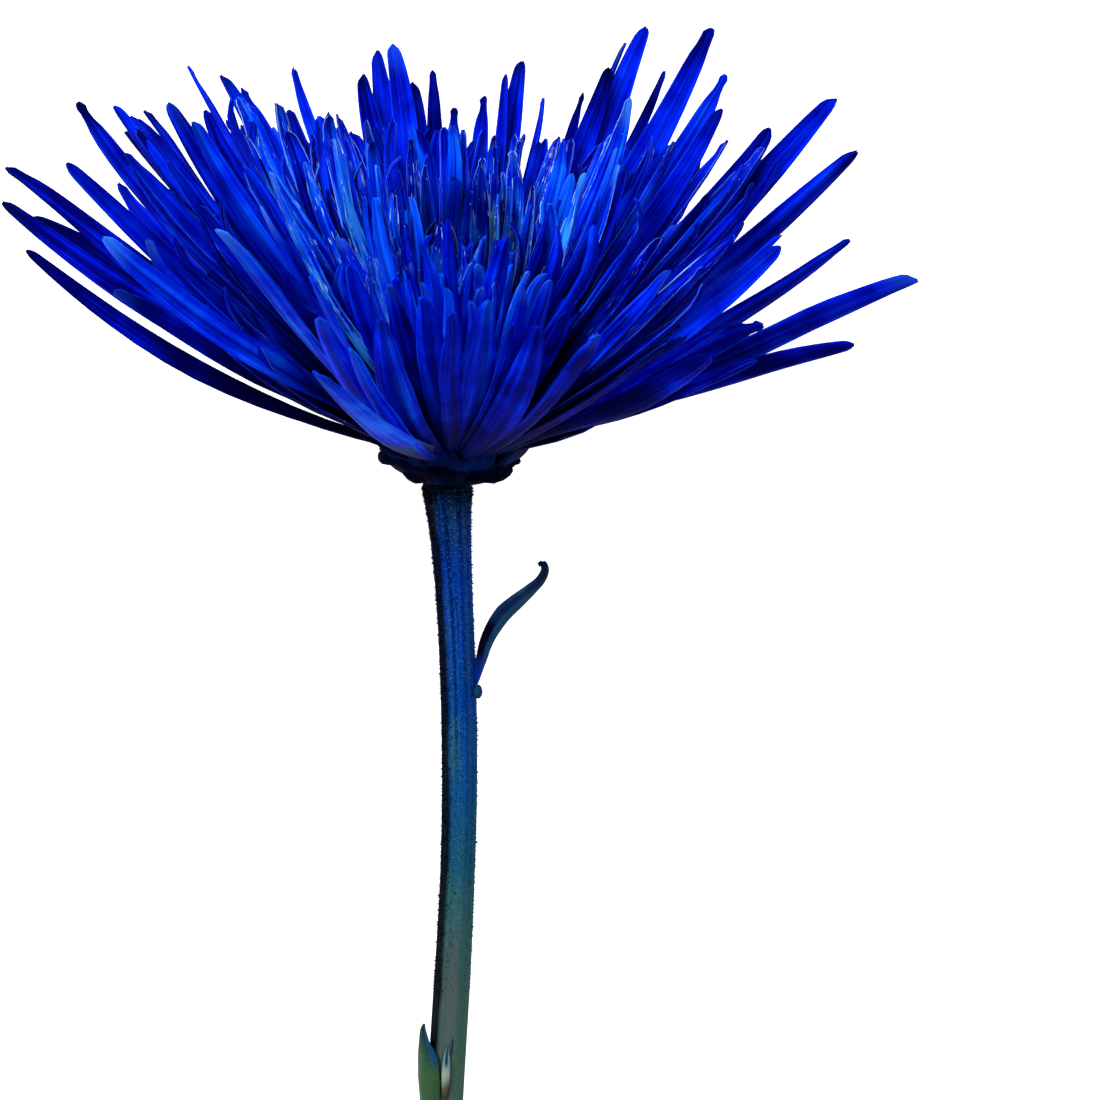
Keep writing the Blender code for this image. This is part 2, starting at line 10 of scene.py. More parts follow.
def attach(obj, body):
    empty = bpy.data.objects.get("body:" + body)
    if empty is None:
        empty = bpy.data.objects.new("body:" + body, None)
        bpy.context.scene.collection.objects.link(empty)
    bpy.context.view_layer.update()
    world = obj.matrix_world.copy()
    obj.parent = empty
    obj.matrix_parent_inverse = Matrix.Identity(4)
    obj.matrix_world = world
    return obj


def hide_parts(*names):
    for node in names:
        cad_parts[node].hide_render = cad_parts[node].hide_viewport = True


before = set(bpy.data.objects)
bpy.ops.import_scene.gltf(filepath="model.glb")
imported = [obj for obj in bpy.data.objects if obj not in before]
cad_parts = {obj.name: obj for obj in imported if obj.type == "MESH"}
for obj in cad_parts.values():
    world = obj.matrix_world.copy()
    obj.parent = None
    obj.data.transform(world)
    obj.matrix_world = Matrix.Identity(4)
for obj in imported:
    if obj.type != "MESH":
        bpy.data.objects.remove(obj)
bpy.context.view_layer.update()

# The flower is modelled in millimetres, upright: its stem's top at the origin, X right,
# Y back and Z up the stem. One matrix then lays it on the floor, where the solids lie.
flower = {
    "stemLength": 220.0,
    "stemEndRadius": 3.0,
    "headHeight": 49.5,  # of the stem's top above the floor
    "headLean": 5.0,  # degrees, to the right
    "stemTop": (-0.001624, 0.075642, 0.049578),  # in the frame, metres
    "floorGap": 0.12,  # what nears the floor stops this far above it, mm
}
view = {
    "distance": 900.0,  # from the aim, mm
    "lens": 208.0,
    "aim": (14.6, 0.0, -10.3),
    "rise": math.radians(16),
}
tilt = math.asin((flower["headHeight"] - flower["stemEndRadius"]) / flower["stemLength"])
layDown = (
    Matrix.Translation(flower["stemTop"])
    @ Matrix.Rotation(tilt - math.pi / 2, 4, "X")
    @ Matrix.Scale(0.001, 4)
)
upInFlower = Vector((0, -math.cos(tilt), math.sin(tilt)))
leanHead = Matrix.Rotation(math.radians(flower["headLean"]), 3, "Y")
stemAxis = Vector((0, 0, 1))


# Meshes

def tubeTemplate(name, sides, stations):
    # a closed tube of radius 1 up Z, with a ring at each station; one half of it gets U from 0 to 1
    # across, the other from 1 to 2, and V runs along it
    shape = bmesh.new()
    bmesh.ops.create_cone(shape, cap_ends=True, segments=sides, radius1=1, radius2=1, depth=1)
    bmesh.ops.translate(shape, verts=shape.verts, vec=(0, 0, 0.5))
    for station in stations[1:-1]:
        everything = shape.verts[:] + shape.edges[:] + shape.faces[:]
        bmesh.ops.bisect_plane(shape, geom=everything, plane_co=(0, 0, station), plane_no=stemAxis)
    bmesh.ops.recalc_face_normals(shape, faces=shape.faces[:])
    uv = shape.loops.layers.uv.new("strap")
    for face in shape.faces:
        outside = face.calc_center_median().y < 0
        for loop in face.loops:
            across = (loop.vert.co.x + 1) / 2
            loop[uv].uv = (2 - across if outside else across, loop.vert.co.z)
    mesh = bpy.data.meshes.new(name)
    shape.to_mesh(mesh)
    shape.free()
    mesh.color_attributes.new("dye", "FLOAT_COLOR", "POINT")
    return mesh


def pointsOf(mesh):
    # for a template: across from -1 to 1, out from -1 to 1 and along from 0 to 1
    points = np.empty(len(mesh.vertices) * 3)
    mesh.vertices.foreach_get("co", points)
    return points.reshape(-1, 3)


def evenTube(name, settings):
    rings = settings["rings"]
    return tubeTemplate(name, settings["sides"], [i / rings for i in range(rings + 1)])


def addCopy(shape, template, points, dye=(0, 0, 0, 0)):
    # a copy of the template with its points moved, and its four dye values
    copy = template.copy()
    copy.vertices.foreach_set("co", np.asarray(points, np.float32).ravel())
    colours = np.tile(np.asarray(dye, np.float32), len(points))
    copy.color_attributes["dye"].data.foreach_set("color", colours)
    shape.from_mesh(copy)
    bpy.data.meshes.remove(copy)


def finishPiece(shape, name, material, node):
    bmesh.ops.transform(shape, matrix=layDown, verts=shape.verts)
    if shape.calc_volume(signed=True) < 0:
        bmesh.ops.reverse_faces(shape, faces=shape.faces[:])
    mesh = bpy.data.meshes.new(name)
    shape.to_mesh(mesh)
    shape.free()
    mesh.materials.append(material)
    mesh.shade_smooth()
    piece = addObject(name, mesh)
    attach(piece, "root")
    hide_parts(node)
    print("made", name, "of", len(mesh.polygons), "faces")


def keptUp(points):
    # the points, with those that come too near the floor lifted
    up = np.array(upInFlower)
    height = flower["headHeight"] + points @ up
    short = np.maximum(0, flower["floorGap"] - height)
    return points + up * short[:, None]


def heading(bearing):
    return Vector((math.cos(bearing), math.sin(bearing), 0))


def addObject(name, data):
    added = bpy.data.objects.new(name, data)
    bpy.context.scene.collection.objects.link(added)
    return added


def unit(vectors):
    return vectors / np.linalg.norm(vectors, axis=-1, keepdims=True)


def bezier(start, knee, end, u):
    # points and directions along a curve from start to end that knee pulls aside
    u = u[:, None]
    centre = start * (1 - u) ** 2 + knee * 2 * u * (1 - u) + end * u**2
    along = (knee - start) * (1 - u) + (end - knee) * u
    return centre, unit(along)


# Materials

class Wire:
    # what a node puts out; it adds and multiplies as a number does
    def __init__(self, node, output=0):
        self.tree = node.id_data
        self.socket = node.outputs[output]

    def math(self, operation, other=0.0, clamp=False):
        settings = {"operation": operation, "use_clamp": clamp}
        return Wire(addNode(self.tree, "ShaderNodeMath", {0: self, 1: other}, **settings))

    def __add__(self, other):
        return self.math("ADD", other)

    def __sub__(self, other):
        return self.math("SUBTRACT", other)

    def __mul__(self, other):
        return self.math("MULTIPLY", other)

    def __abs__(self):
        return self.math("ABSOLUTE")

    def span(self, low, high, toLow=0.0, toHigh=1.0):
        # eased, 0 at low and 1 at high; low may be the greater one
        ends = {"Value": self, "From Min": low, "From Max": high, "To Min": toLow, "To Max": toHigh}
        return Wire(addNode(self.tree, "ShaderNodeMapRange", ends, interpolation_type="SMOOTHSTEP"))

    def noise(self, scale, detail=2.0, roughness=0.5):
        values = {"Vector": self, "Scale": scale, "Detail": detail, "Roughness": roughness}
        return Wire(addNode(self.tree, "ShaderNodeTexNoise", values), "Fac")

    def ramp(self, stops):
        node = addNode(self.tree, "ShaderNodeValToRGB", {"Fac": self})
        elements = node.color_ramp.elements
        while len(elements) < len(stops):
            elements.new(0.5)
        for element, (position, colour) in zip(elements, stops):
            element.position = position
            element.color = (*colour, 1)
        return Wire(node, "Color")

    def blend(self, first, second):
        # two colours mixed by this mask
        colours = {0: self, 6: first, 7: second}
        return Wire(addNode(self.tree, "ShaderNodeMix", colours, data_type="RGBA"), 2)

    def under(self, finish, masks):
        # this colour under others of the finish, each where its mask is
        colour = self
        for name, mask in masks.items():
            colour = mask.blend(colour, finish[name])
        return colour


def feed(node, inputs):
    for name, value in inputs.items():
        socket = node.inputs[name]
        if isinstance(value, Wire):
            node.id_data.links.new(value.socket, socket)
        elif socket.type == "RGBA":
            socket.default_value = (*value, 1)
        else:
            socket.default_value = value
    return node


def addNode(tree, kind, inputs=None, **settings):
    node = tree.nodes.new(kind)
    for name, value in settings.items():
        setattr(node, name, value)
    return feed(node, inputs or {})


def readStrap(tree):
    # across and along a strap, from its UV
    uv = Wire(addNode(tree, "ShaderNodeUVMap", uv_map="strap"), "UV")
    parts = addNode(tree, "ShaderNodeSeparateXYZ", {"Vector": uv})
    return Wire(parts, "X"), Wire(parts, "Y")


def joined(x, y, z):
    return Wire(addNode(x.tree, "ShaderNodeCombineXYZ", {"X": x, "Y": y, "Z": z}))


fibreInputs = ("Across Scale", "Along Scale", "Seed")
fibreOutputs = ("Broad", "Fine", "Height")


def makeFibreGroup():
    # lengthwise fibres of a plant's skin: a broad mask, a fine one and a height
    group = bpy.data.node_groups.new("plantFibres", "ShaderNodeTree")
    for direction, names in (("INPUT", fibreInputs), ("OUTPUT", fibreOutputs)):
        for name in names:
            group.interface.new_socket(name, in_out=direction, socket_type="NodeSocketFloat")
    entry = group.nodes.new("NodeGroupInput")
    across, along = readStrap(group)
    across, along = across * Wire(entry, 0), along * Wire(entry, 1)
    apart = Wire(entry, 2) * 41.0
    broad = joined(across, along, apart).noise(1.0)
    fine = joined(across * 3.1, along * 2.6, apart).noise(1.0, 3.0, 0.6)
    feed(group.nodes.new("NodeGroupOutput"), {0: broad, 1: fine, 2: broad * 0.7 + fine * 0.3})
    return group


fibreGroup = makeFibreGroup()


class Paint:
    # a material being mixed
    def __init__(self, name, finish):
        self.material = bpy.data.materials.new(name)
        self.material.use_nodes = True
        self.tree = self.material.node_tree
        self.shader = self.tree.nodes["Principled BSDF"]
        sheen = {"Roughness": finish["roughness"], "Specular IOR Level": finish["specular"]}
        feed(self.shader, sheen)

    def place(self):
        return Wire(self.tree.nodes.new("ShaderNodeTexCoord"), "Object")

    def dye(self):
        node = addNode(self.tree, "ShaderNodeAttribute", attribute_name="dye")
        parts = addNode(self.tree, "ShaderNodeSeparateColor", {"Color": Wire(node, "Color")})
        return Wire(parts, 0), Wire(parts, 1), Wire(parts, 2), Wire(node, "Alpha")

    def fibres(self, *scales):
        inputs = dict(zip(fibreInputs, scales))
        node = addNode(self.tree, "ShaderNodeGroup", inputs, node_tree=fibreGroup)
        return [Wire(node, name) for name in fibreOutputs]

    def finish(self, colour, relief, strength, depth):
        height = {"Height": relief, "Strength": strength, "Distance": depth}
        bump = Wire(addNode(self.tree, "ShaderNodeBump", height), "Normal")
        feed(self.shader, {"Base Color": colour, "Normal": bump})
        return self.material


petalFinish = {
    "shades": (
        (0.05, (0.0, 0.0004, 0.10)),
        (0.3, (0.0, 0.004, 0.41)),
        (0.6, (0.0, 0.021, 0.74)),
        (1.0, (0.003, 0.12, 1.0)),
    ),
    # painted shade down the middle of each floret's channel
    "fold": (0.0, 0.0004, 0.10),
    # painted shade towards the florets' roots, deep among the others
    "root": (0.0, 0.0004, 0.03),
    # painted shade in the head's deep middle
    "wellShade": (0.0, 0.0004, 0.03),
    "stain": (0.024, 0.026, 0.045),
    # the wet florets' paler azure, with painted sheen
    "wet": (0.03, 0.34, 1.0),
    # painted glints, in short dashes on the wet florets
    "glintDash": (0.45, 0.75, 1.0),
    "tipPale": (0.035, 0.19, 0.88),
    "tipDark": (0.0, 0.001, 0.02),
    # painted highlight along the florets' edges
    "edge": (0.003, 0.09, 0.90),
    "litEdge": (0.30, 0.55, 1.0),
    "roughness": 0.6,
    "specular": 0.005,
    "coatRoughness": 0.12,
    "ridgeGlint": 0.4,
    "wetGlint": 0.7,
    "veinDepth": 0.0007,
    "wellShadeCentre": (4.0, 6.0, 30.0),  # of the painted shade in the deep middle, in the flower's millimetres
    "wellShadeReach": (0.018, 0.009),  # where it ends and where it is full, metres from its centre
}


def makePetalMaterial():
    # the dye values: tone from 0 dark to 1 bright, lowered on some florets for painted shade,
    # wetness, tip from -1 dark to 1 pale, stain
    finish = petalFinish
    paint = Paint("dyedPetal", finish)
    tone, wet, tip, stain = paint.dye()
    across, along = readStrap(paint.tree)
    place = paint.place()
    rim = abs(across.math("FRACT") * 2.0 - 1.0)
    broad, fine, height = paint.fibres(5.0, 1.3, tone)
    mottle = place.noise(130.0, 3.0)
    speck = place.noise(900.0)
    fromRoot = along + (tone - 0.5) * 0.4
    end = along.span(0.90, 1.0)

    crinkle = wet * 1.35 + 0.95
    shade = tone + (broad + fine * 0.8 - 0.9) * crinkle + (mottle - 0.5) * 1.1
    # painted highlight: paler lines along the florets' edges
    edge = rim.span(0.88, 1.0) * fine.span(0.42, 0.6, 0.0, 0.6) * wet.span(0.0, 0.25, 0.4, 1.0)
    litEdge = rim.span(0.88, 0.97) * fine.span(0.52, 0.58) * wet.span(0.02, 0.35, 0.0, 0.9)
    # patches on the wet florets: their paler colour with painted sheen
    wetSheenPatch = (fine + mottle + wet * 0.1).span(1.05, 1.16)
    wetSheenPatch = wetSheenPatch * along.span(0.92, 0.75) * wet.span(0.3, 0.9)
    # painted glints: short bright dashes along the wet florets
    glintDashes = joined(across * 17.0, along * 15.0, tone * 53.0).noise(1.0, 1.0).span(0.67, 0.71)
    glintDashes = glintDashes * along.span(0.4, 0.6) * wet.span(0.25, 0.6)
    ends = {0: place, 1: layDown @ Vector(finish["wellShadeCentre"])}
    distance = addNode(paint.tree, "ShaderNodeVectorMath", ends, operation="DISTANCE")
    colour = shade.ramp(finish["shades"]).under(finish, {
        "edge": edge,
        # painted shade down the middle of the channel
        "fold": rim.span(0.35, 0.0) * 0.6,
        "litEdge": litEdge,
        # painted shade towards the root
        "root": fromRoot.span(0.6, 0.15) * 0.92,
        "stain": (along + broad * 0.25).span(0.56, 0.42) * stain,
        "wet": wetSheenPatch,
        "glintDash": glintDashes,
        "tipPale": end * tip.math("MAXIMUM", 0.0),
        "tipDark": end * (tip * -1.0).math("MAXIMUM", 0.0),
        # painted shade in the head's deep middle
        "wellShade": Wire(distance, "Value").span(*finish["wellShadeReach"]) * 0.8,
    })

    glint = speck.span(0.55, 0.7) * wet * finish["wetGlint"]
    glint = glint + fine.span(0.52, 0.66) * finish["ridgeGlint"] * wet
    glint = glint * fromRoot.span(0.35, 0.6) * shade.span(0.1, 0.5)
    feed(paint.shader, {"Coat Weight": glint, "Coat Roughness": finish["coatRoughness"]})
    strength = crinkle.math("MULTIPLY", 0.8, clamp=True)
    return paint.finish(colour, height + speck * 0.12, strength, finish["veinDepth"])


# Florets

def asSeen(x, y, z):
    # the place at depth y which the camera sees where a view from afar would show x, y, z
    sine, cosine, distance = math.sin(view["rise"]), math.cos(view["rise"]), view["distance"]
    aim = Vector(view["aim"])
    offset = Vector((x, y, z)) - aim
    up = offset.y * sine + offset.z * cosine
    raised = up * (distance + cosine * offset.y) - sine * offset.y * distance
    offset.z = raised / (cosine * distance + up * sine)
    offset.x *= 1 - (sine * offset.z - cosine * offset.y) / distance
    return aim + offset


head = {
    "coreRadius": 9.0,
    "coreHalfHeight": 5.0,
    "coreMiddle": 7.2,
    "rootDepth": 0.66,
    "rootSpreading": 1.45,
    "rootSpreadLimit": math.radians(88),
    "rootDrop": ((42.0, 62.0), (0.0, 3.0)),  # of the widest florets: spreads and drops
    "twistRate": 1.8,
    "kneeClearance": 1.6,
    "bladeSeed": 7,
    "outlineRoll": (0.95, 1.3),
    "outlineInnerShare": 0.6,
    "outlineWidth": (0.76, 0.84),  # shares of the given width at the far left and the far right
    "outlineRollShare": (0.9, 1.1),
    "outlineTone": ((20, 35), (-0.1, 0.0)),  # painted shade, taken off the given tones towards the left: tip x and amount
    "floorBend": 0.13,
    "goldenAngle": math.radians(137.508),
    "spreads": (0.0, 5.0, 10.0, 20.0, 35.0, 54.0),
    "sideLengths": (11.0, 15.0, 26.0, 40.0, 52.0, 58.0),
    "frontLengths": (11.0, 14.0, 23.0, 32.0, 39.0, 45.0),
    "widths": (1.6, 1.8, 2.1, 2.7, 3.6, 3.8),
    "frontNarrowing": 0.1,
    "rimShadeDarkening": ((28.0, 46.0), (1.0, 0.5)),  # painted shade on the rows' florets out among the outline: spreads and shares of the tone
    "bends": (0.16, 0.15, 0.12, 0.08, 0.07, 0.06),
    "ceiling": 50.0,  # of the rows' tips, as the camera sees them
    "start": (0.6, 2.0),
    "sideRoll": (-0.4, 1.0),
    "floorTip": 3.0,  # least height of the rows' tips above the floor
    "rimFrom": 30.0,  # spread from which a row's florets count as middle ones
}

# The head's outline, floret by floret: tip x, y, z, bend, width, tone; the low tones at the far left
# hold painted shade as well as dye
outlineFlorets = (
    (-59.5, -10, 36.8, 0.135, 3.9, 0.16),
    (-63, 2, 40.2, 0.05, 5.4, 0.28),
    (-59, 10, 36.0, 0.01, 5.6, 0.15),
    (-62.2, 12, 42.8, 0.02, 5.4, 0.2),
    (-52.3, 6, 53.9, 0.13, 5.4, 0.4),
    (-53.7, -14, 51.0, 0.08, 5.0, 0.3),
    (-47, -14, 31.6, 0.03, 5.0, 0.05),
    (-47.2, 16, 50.4, 0.08, 5.0, 0.45),
    (-45.6, 24, 44.4, 0.05, 5.0, 0.1),
    (-40, 10, 40, 0.05, 5.4, 0.0),
    (-45.6, -12, 51.2, 0.05, 3.6, 0.5),
    (-42.8, 24, 47.6, 0.07, 4.6, 0.35),
    (-39.2, -6, 57.4, 0.08, 5.4, 0.4),
    (-36.4, -16, 57.2, 0.08, 5.0, 0.6),
    (-36.8, 38, 50, 0.06, 5.0, 0.45),
    (-32, 30, 51, 0.06, 4.8, 0.45),
    (-29, 30, 49.0, 0.05, 4.8, 0.6),
    (-21.8, 44, 47.7, 0.05, 3.0, 0.6),
    (-12, 42, 47.5, 0.05, 4.8, 0.35),
    (-9.8, 46, 50, 0.06, 5.0, 0.55),
    (-7.4, 40, 52.6, 0.05, 4.8, 0.5),
    (-4.6, 42, 46.5, 0.04, 4.6, 0.4),
    (-2, 47, 47, 0.06, 3.6, 0.3),
    (1.0, 40, 43.0, 0.04, 3.6, 0.45),
    (5.7, 44, 44, 0.05, 3.8, 0.5),
    (8.8, 42, 47.6, 0.05, 2.8, 0.4),
    (10.6, 46, 48.4, 0.05, 4.2, 0.45),
    (14.0, 44, 43.5, 0.05, 2.6, 0.5),
    (19, 44, 44.6, 0.06, 2.6, 0.1),
    (25, 40, 53, 0.04, 2.6, 0.2),
    (23.2, 36, 50, 0.04, 4.6, 0.35),
    (28, 42, 54.6, 0.04, 5.6, 0.5),
    (31, 46, 47, 0.04, 2.6, 0.3),
    (37.8, 30, 57.7, 0.05, 5.2, 0.4),
    (39.6, 18, 54.5, 0.07, 4.2, 0.55),
    (39, 4, 53.4, 0.08, 4.2, 0.4),
    (46, 12, 48.2, 0.06, 5.6, 0.35),
    (55, 14, 52.2, 0.05, 5.4, 0.4),
    (57.8, 2, 48, 0.05, 5.8, 0.3),
    (57, 12, 32, 0.05, 5.0, 0.3),
    (47.4, -14, 38.2, 0.05, 4.4, 0.45),
    (66.5, 4, 28.6, 0.03, 5.6, 0.35),
    (57.5, -8, 22.6, -0.02, 4.4, 0.1),
    (37, -42, 30, 0.02, 4.6, 0.15),
    (44, -28, 25.2, 0.0, 4.6, 0.12),
)
# The broad florets in front, which stand up: tip x, y, z, bend, width, roll, tone, stain
frontFlorets = (
    (-48.8, -36, 45.2, 0.04, 4.3, -1.0, 0.6, 0.0),
    (-32, -54, 52.4, 0.07, 5.4, -0.6, 0.7, 0.4),
    (-26.3, -52, 54.4, 0.08, 4.8, -0.5, 0.6, 0.0),
    (-19.4, -52, 45.1, 0.11, 5.2, -0.4, 0.5, 0.5),
    (-18.3, -56, 39.9, 0.12, 5.2, -0.3, 0.55, 0.9),
    (-18.6, -60, 32.9, 0.07, 7.0, -0.15, 0.74, 0.75),
    (-13.5, -54, 34.6, 0.12, 6.0, -0.3, 0.7, 0.0),
    (-9.5, -50, 37.8, 0.13, 5.0, 0.2, 0.5, 0.0),
    (-2.7, -44, 39.2, 0.12, 4.8, -0.3, 0.6, 0.0),
    (1.1, -47, 38.6, 0.13, 3.8, 0.5, 0.4, 0.0),
    (4.1, -42, 38.0, 0.11, 3.0, -0.5, 0.65, 0.0),
    (6.1, -46, 39.3, 0.13, 5.2, 0.1, 0.5, 0.0),
    (9.6, -44, 36.0, 0.11, 3.8, 0.6, 0.35, 0.0),
    (13.2, -48, 35.9, 0.12, 4.4, -0.4, 0.45, 0.0),
    (17.5, -42, 36.5, 0.10, 4.4, 0.4, 0.35, 0.0),
    (22.0, -46, 35.0, 0.10, 4.6, 0.5, 0.25, 0.0),
    (26.0, -38, 35.8, 0.08, 4.6, 0.6, 0.35, 0.0),
    (31.0, -42, 31.8, 0.05, 5.4, 0.3, 0.1, 0.0),
    (40.0, -30, 31.5, 0.03, 5.0, 0.6, 0.12, 0.0),
    (44.5, -14, 27.3, 0.02, 4.8, 1.2, 0.1, 0.0),
    (-24.0, -44, 41.0, 0.10, 4.4, -0.5, 0.4, 0.5),
    (-14.4, -42, 44.0, 0.12, 3.8, -0.2, 0.6, 0.0),
    (-8.0, -40, 40.2, 0.12, 3.6, 0.3, 0.3, 0.0),
)
# The florets that point at the floor: tip x, z, clearance above the floor, width
floorFlorets = (
    (-31, 38, 0.4, 4.8),
    (30, 38, 0.4, 4.8),
    (0, 33, 1.4, 4.6),
    (-15, 38, 3.0, 4.4),
    (16, 36, 3.0, 4.4),
    (-49, 32, 11.0, 4.4),
    (49, 29, 10.0, 4.4),
)


class Floret:
    # where one floret starts, bends and ends, with its width and roll
    def __init__(self, tip, bend, width, sway=0.0, roll=0.0):
        bearing = math.atan2(tip.y, tip.x)
        spread = math.atan2(math.hypot(tip.x, tip.y), tip.z - head["coreMiddle"])
        turn = min(head["rootSpreadLimit"], head["rootSpreading"] * spread)
        out = head["coreRadius"] * head["rootDepth"] * math.sin(turn)
        up = head["coreMiddle"] + head["coreHalfHeight"] * head["rootDepth"] * math.cos(turn)
        up -= float(np.interp(math.degrees(spread), *head["rootDrop"]))
        self.root = leanHead @ Vector((out * math.cos(bearing), out * math.sin(bearing), up))
        self.tip = tip
        self.spread = math.degrees(spread)
        self.width = width
        self.roll = roll
        chord = tip - self.root
        self.side = stemAxis.cross(heading(bearing))
        along = chord.normalized()
        side = (self.side - along * self.side.dot(along)).normalized()
        knee = (self.root + tip) / 2 + (side * sway - along.cross(side) * bend) * chord.length
        height = flower["headHeight"] + knee.dot(upInFlower)
        self.knee = knee + upInFlower * max(0.0, head["kneeClearance"] - height)


def outlineRow():
    for x, y, z, bend, width, tone in outlineFlorets:
        draw = random.Random(f"{x} {z}")
        roll = draw.uniform(*head["outlineRoll"]) * x / math.hypot(x, y)
        if draw.random() > head["outlineInnerShare"]:
            roll = -roll
        width *= np.interp(x, (-40, 40), head["outlineWidth"])
        roll *= np.interp(x, (-40, 20), head["outlineRollShare"])
        # painted shade: the outline darkens towards the left
        tone = max(0.0, tone + float(np.interp(x, *head["outlineTone"])))
        yield Floret(asSeen(x, y, z), bend, width, roll=roll), draw, tone
    for x, z, clearance, width in floorFlorets:
        tip = Vector((x, 0, z))
        tip.y = (flower["headHeight"] + tip.dot(upInFlower) - clearance) / -upInFlower.y
        yield Floret(tip, head["floorBend"], width), random.Random(f"{x} {z}"), 0.4


# Crinkled florets that shine with wet: tip x, y, z, width, tone, wetness, tip's shade
wetFlorets = (
    (-16.3, -8, 52.3, 5.2, 0.85, 1.0, 0.3),
    (-29.3, 10, 53.7, 4.6, 0.6, 0.45, 0.0),
    (-25.1, -30, 53.4, 3.8, 0.7, 0.75, 0.5),
    (-22.2, 2, 51.0, 4.4, 0.35, 0.2, -0.4),
    (-19.4, 4, 46.0, 2.8, 0.5, 0.4, 0.0),
    (-10.3, -26, 39.9, 2.6, 0.7, 1.0, 0.4),
    (-7.5, -6, 43.5, 2.2, 0.6, 0.9, 0.0),
    (4.4, 4, 46.6, 3.0, 0.55, 0.5, 0.0),
    (9.8, 0, 48.6, 5.0, 0.5, 0.55, 0.2),
    (7.2, -4, 43.2, 1.8, 0.6, 1.0, 0.0),
    (12.6, -3, 44.4, 2.6, 0.4, 0.6, -0.6),
    (19.7, -8, 47.1, 3.4, 0.75, 0.7, 1.0),
    (26.2, 2, 55.6, 3.0, 0.6, 0.3, 1.0),
    (24.5, -6, 48.2, 3.0, 0.6, 0.3, 0.8),
)
# Narrow florets that ring the dark well in the middle, row after row
crown = {
    "seed": 12,
    # count, first and last x, y and z of the tips
    "rows": (
        (9, (-2.0, 9.8), -12.0, 37.6),
        (9, (-7.0, 13.0), -19.0, 37.2),
        (8, (-10.5, 15.0), -28.0, 37.0),
        (5, (-12.5, -4.5), -4.0, 42.0),
        (4, (11.5, 18.0), -4.0, 41.5),
    ),
    "jitter": (0.6, 2.0, 1.3),
    "width": (1.8, 3.0),
    "bend": (0.07, 0.15),
    "roll": 0.8,
    "tone": (0.4, 0.95),
    "wet": (0.05, 0.4),
    "tipShade": (-0.5, 0.5),
}


def crownRow():
    draw = random.Random(crown["seed"])
    for count, (first, last), depth, height in crown["rows"]:
        for i in range(count):
            tip = Vector((first + (last - first) * i / (count - 1), depth, height))
            tip += Vector([draw.uniform(-reach, reach) for reach in crown["jitter"]])
            roll = draw.uniform(-1, 1) * crown["roll"]
            bend, width = draw.uniform(*crown["bend"]), draw.uniform(*crown["width"])
            dye = [draw.uniform(*crown[name]) for name in ("tone", "wet", "tipShade")]
            yield Floret(asSeen(*tip), bend, width, roll=roll), dye


# Florets at golden-angle steps, longest and widest at the rim
rule = {
    "seed": 23,
    "count": 132,
    "widest": 54.0,
    "crowding": 0.72,
    "spreadJitter": 1.5,
    "firstBearing": 0.0,
    "bearingJitter": 0.08,
    "length": (0.9, 1.08),
    "width": (0.85, 1.12),
    "bend": (0.5, 1.4),
    "sway": 0.035,
    "roll": 0.35,
    "rightLimit": 50.0,
}
# Slimmer florets between those, which close the head up
filling = {
    "seed": 61,
    "count": 260,
    "widest": 68.0,
    "crowding": 0.6,
    "spreadJitter": 3.0,
    "firstBearing": 1.1,
    "bearingJitter": 0.15,
    "length": (0.58, 0.98),
    "width": (0.7, 1.0),
    "bend": (0.4, 1.8),
    "sway": 0.07,
    "roll": 0.9,
    "rightLimit": 40.0,
}


def at(spread, values):
    return float(np.interp(spread, head["spreads"], values))


def rowTip(spread, bearing, length):
    slant = math.radians(spread)
    start, rise = head["start"]
    out = length * math.sin(slant) + head["coreRadius"] * start * min(1.0, spread / rule["widest"])
    up = head["coreMiddle"] + rise + length * math.cos(slant)
    tip = Vector((out * math.cos(bearing), out * math.sin(bearing), up))
    seenHeight = tip.z * math.cos(view["rise"]) + tip.y * math.sin(view["rise"])
    tip = leanHead @ (tip * min(1.0, head["ceiling"] / seenHeight))
    height = flower["headHeight"] + tip.dot(upInFlower)
    return tip + upInFlower * max(0.0, head["floorTip"] - height)


def spiralRow(row):
    draw = random.Random(row["seed"])
    for i in range(row["count"]):
        share = (i + 0.5) / row["count"]
        spread = row["widest"] * (1 - share) ** row["crowding"]
        spread += draw.uniform(-row["spreadJitter"], row["spreadJitter"])
        bearing = row["firstBearing"] + i * head["goldenAngle"]
        bearing += draw.uniform(-row["bearingJitter"], row["bearingJitter"])
        front = max(0.0, -math.sin(bearing))
        length = at(spread, head["sideLengths"]) * (1 - front)
        length += at(spread, head["frontLengths"]) * front
        length *= draw.uniform(*row["length"])
        width = at(spread, head["widths"]) * draw.uniform(*row["width"])
        width *= 1 - head["frontNarrowing"] * front
        bend = at(spread, head["bends"]) * draw.uniform(*row["bend"])
        tip = rowTip(spread, bearing, length)
        sway = draw.uniform(-row["sway"], row["sway"])
        roll = math.cos(bearing) * draw.uniform(*head["sideRoll"])
        roll += draw.uniform(-row["roll"], row["roll"])
        # the broad florets have the front to themselves, and those of the outline the right
        if (front < 0.7 or spread < 38) and tip.x < row["rightLimit"]:
            yield Floret(tip, bend, width, sway, roll)


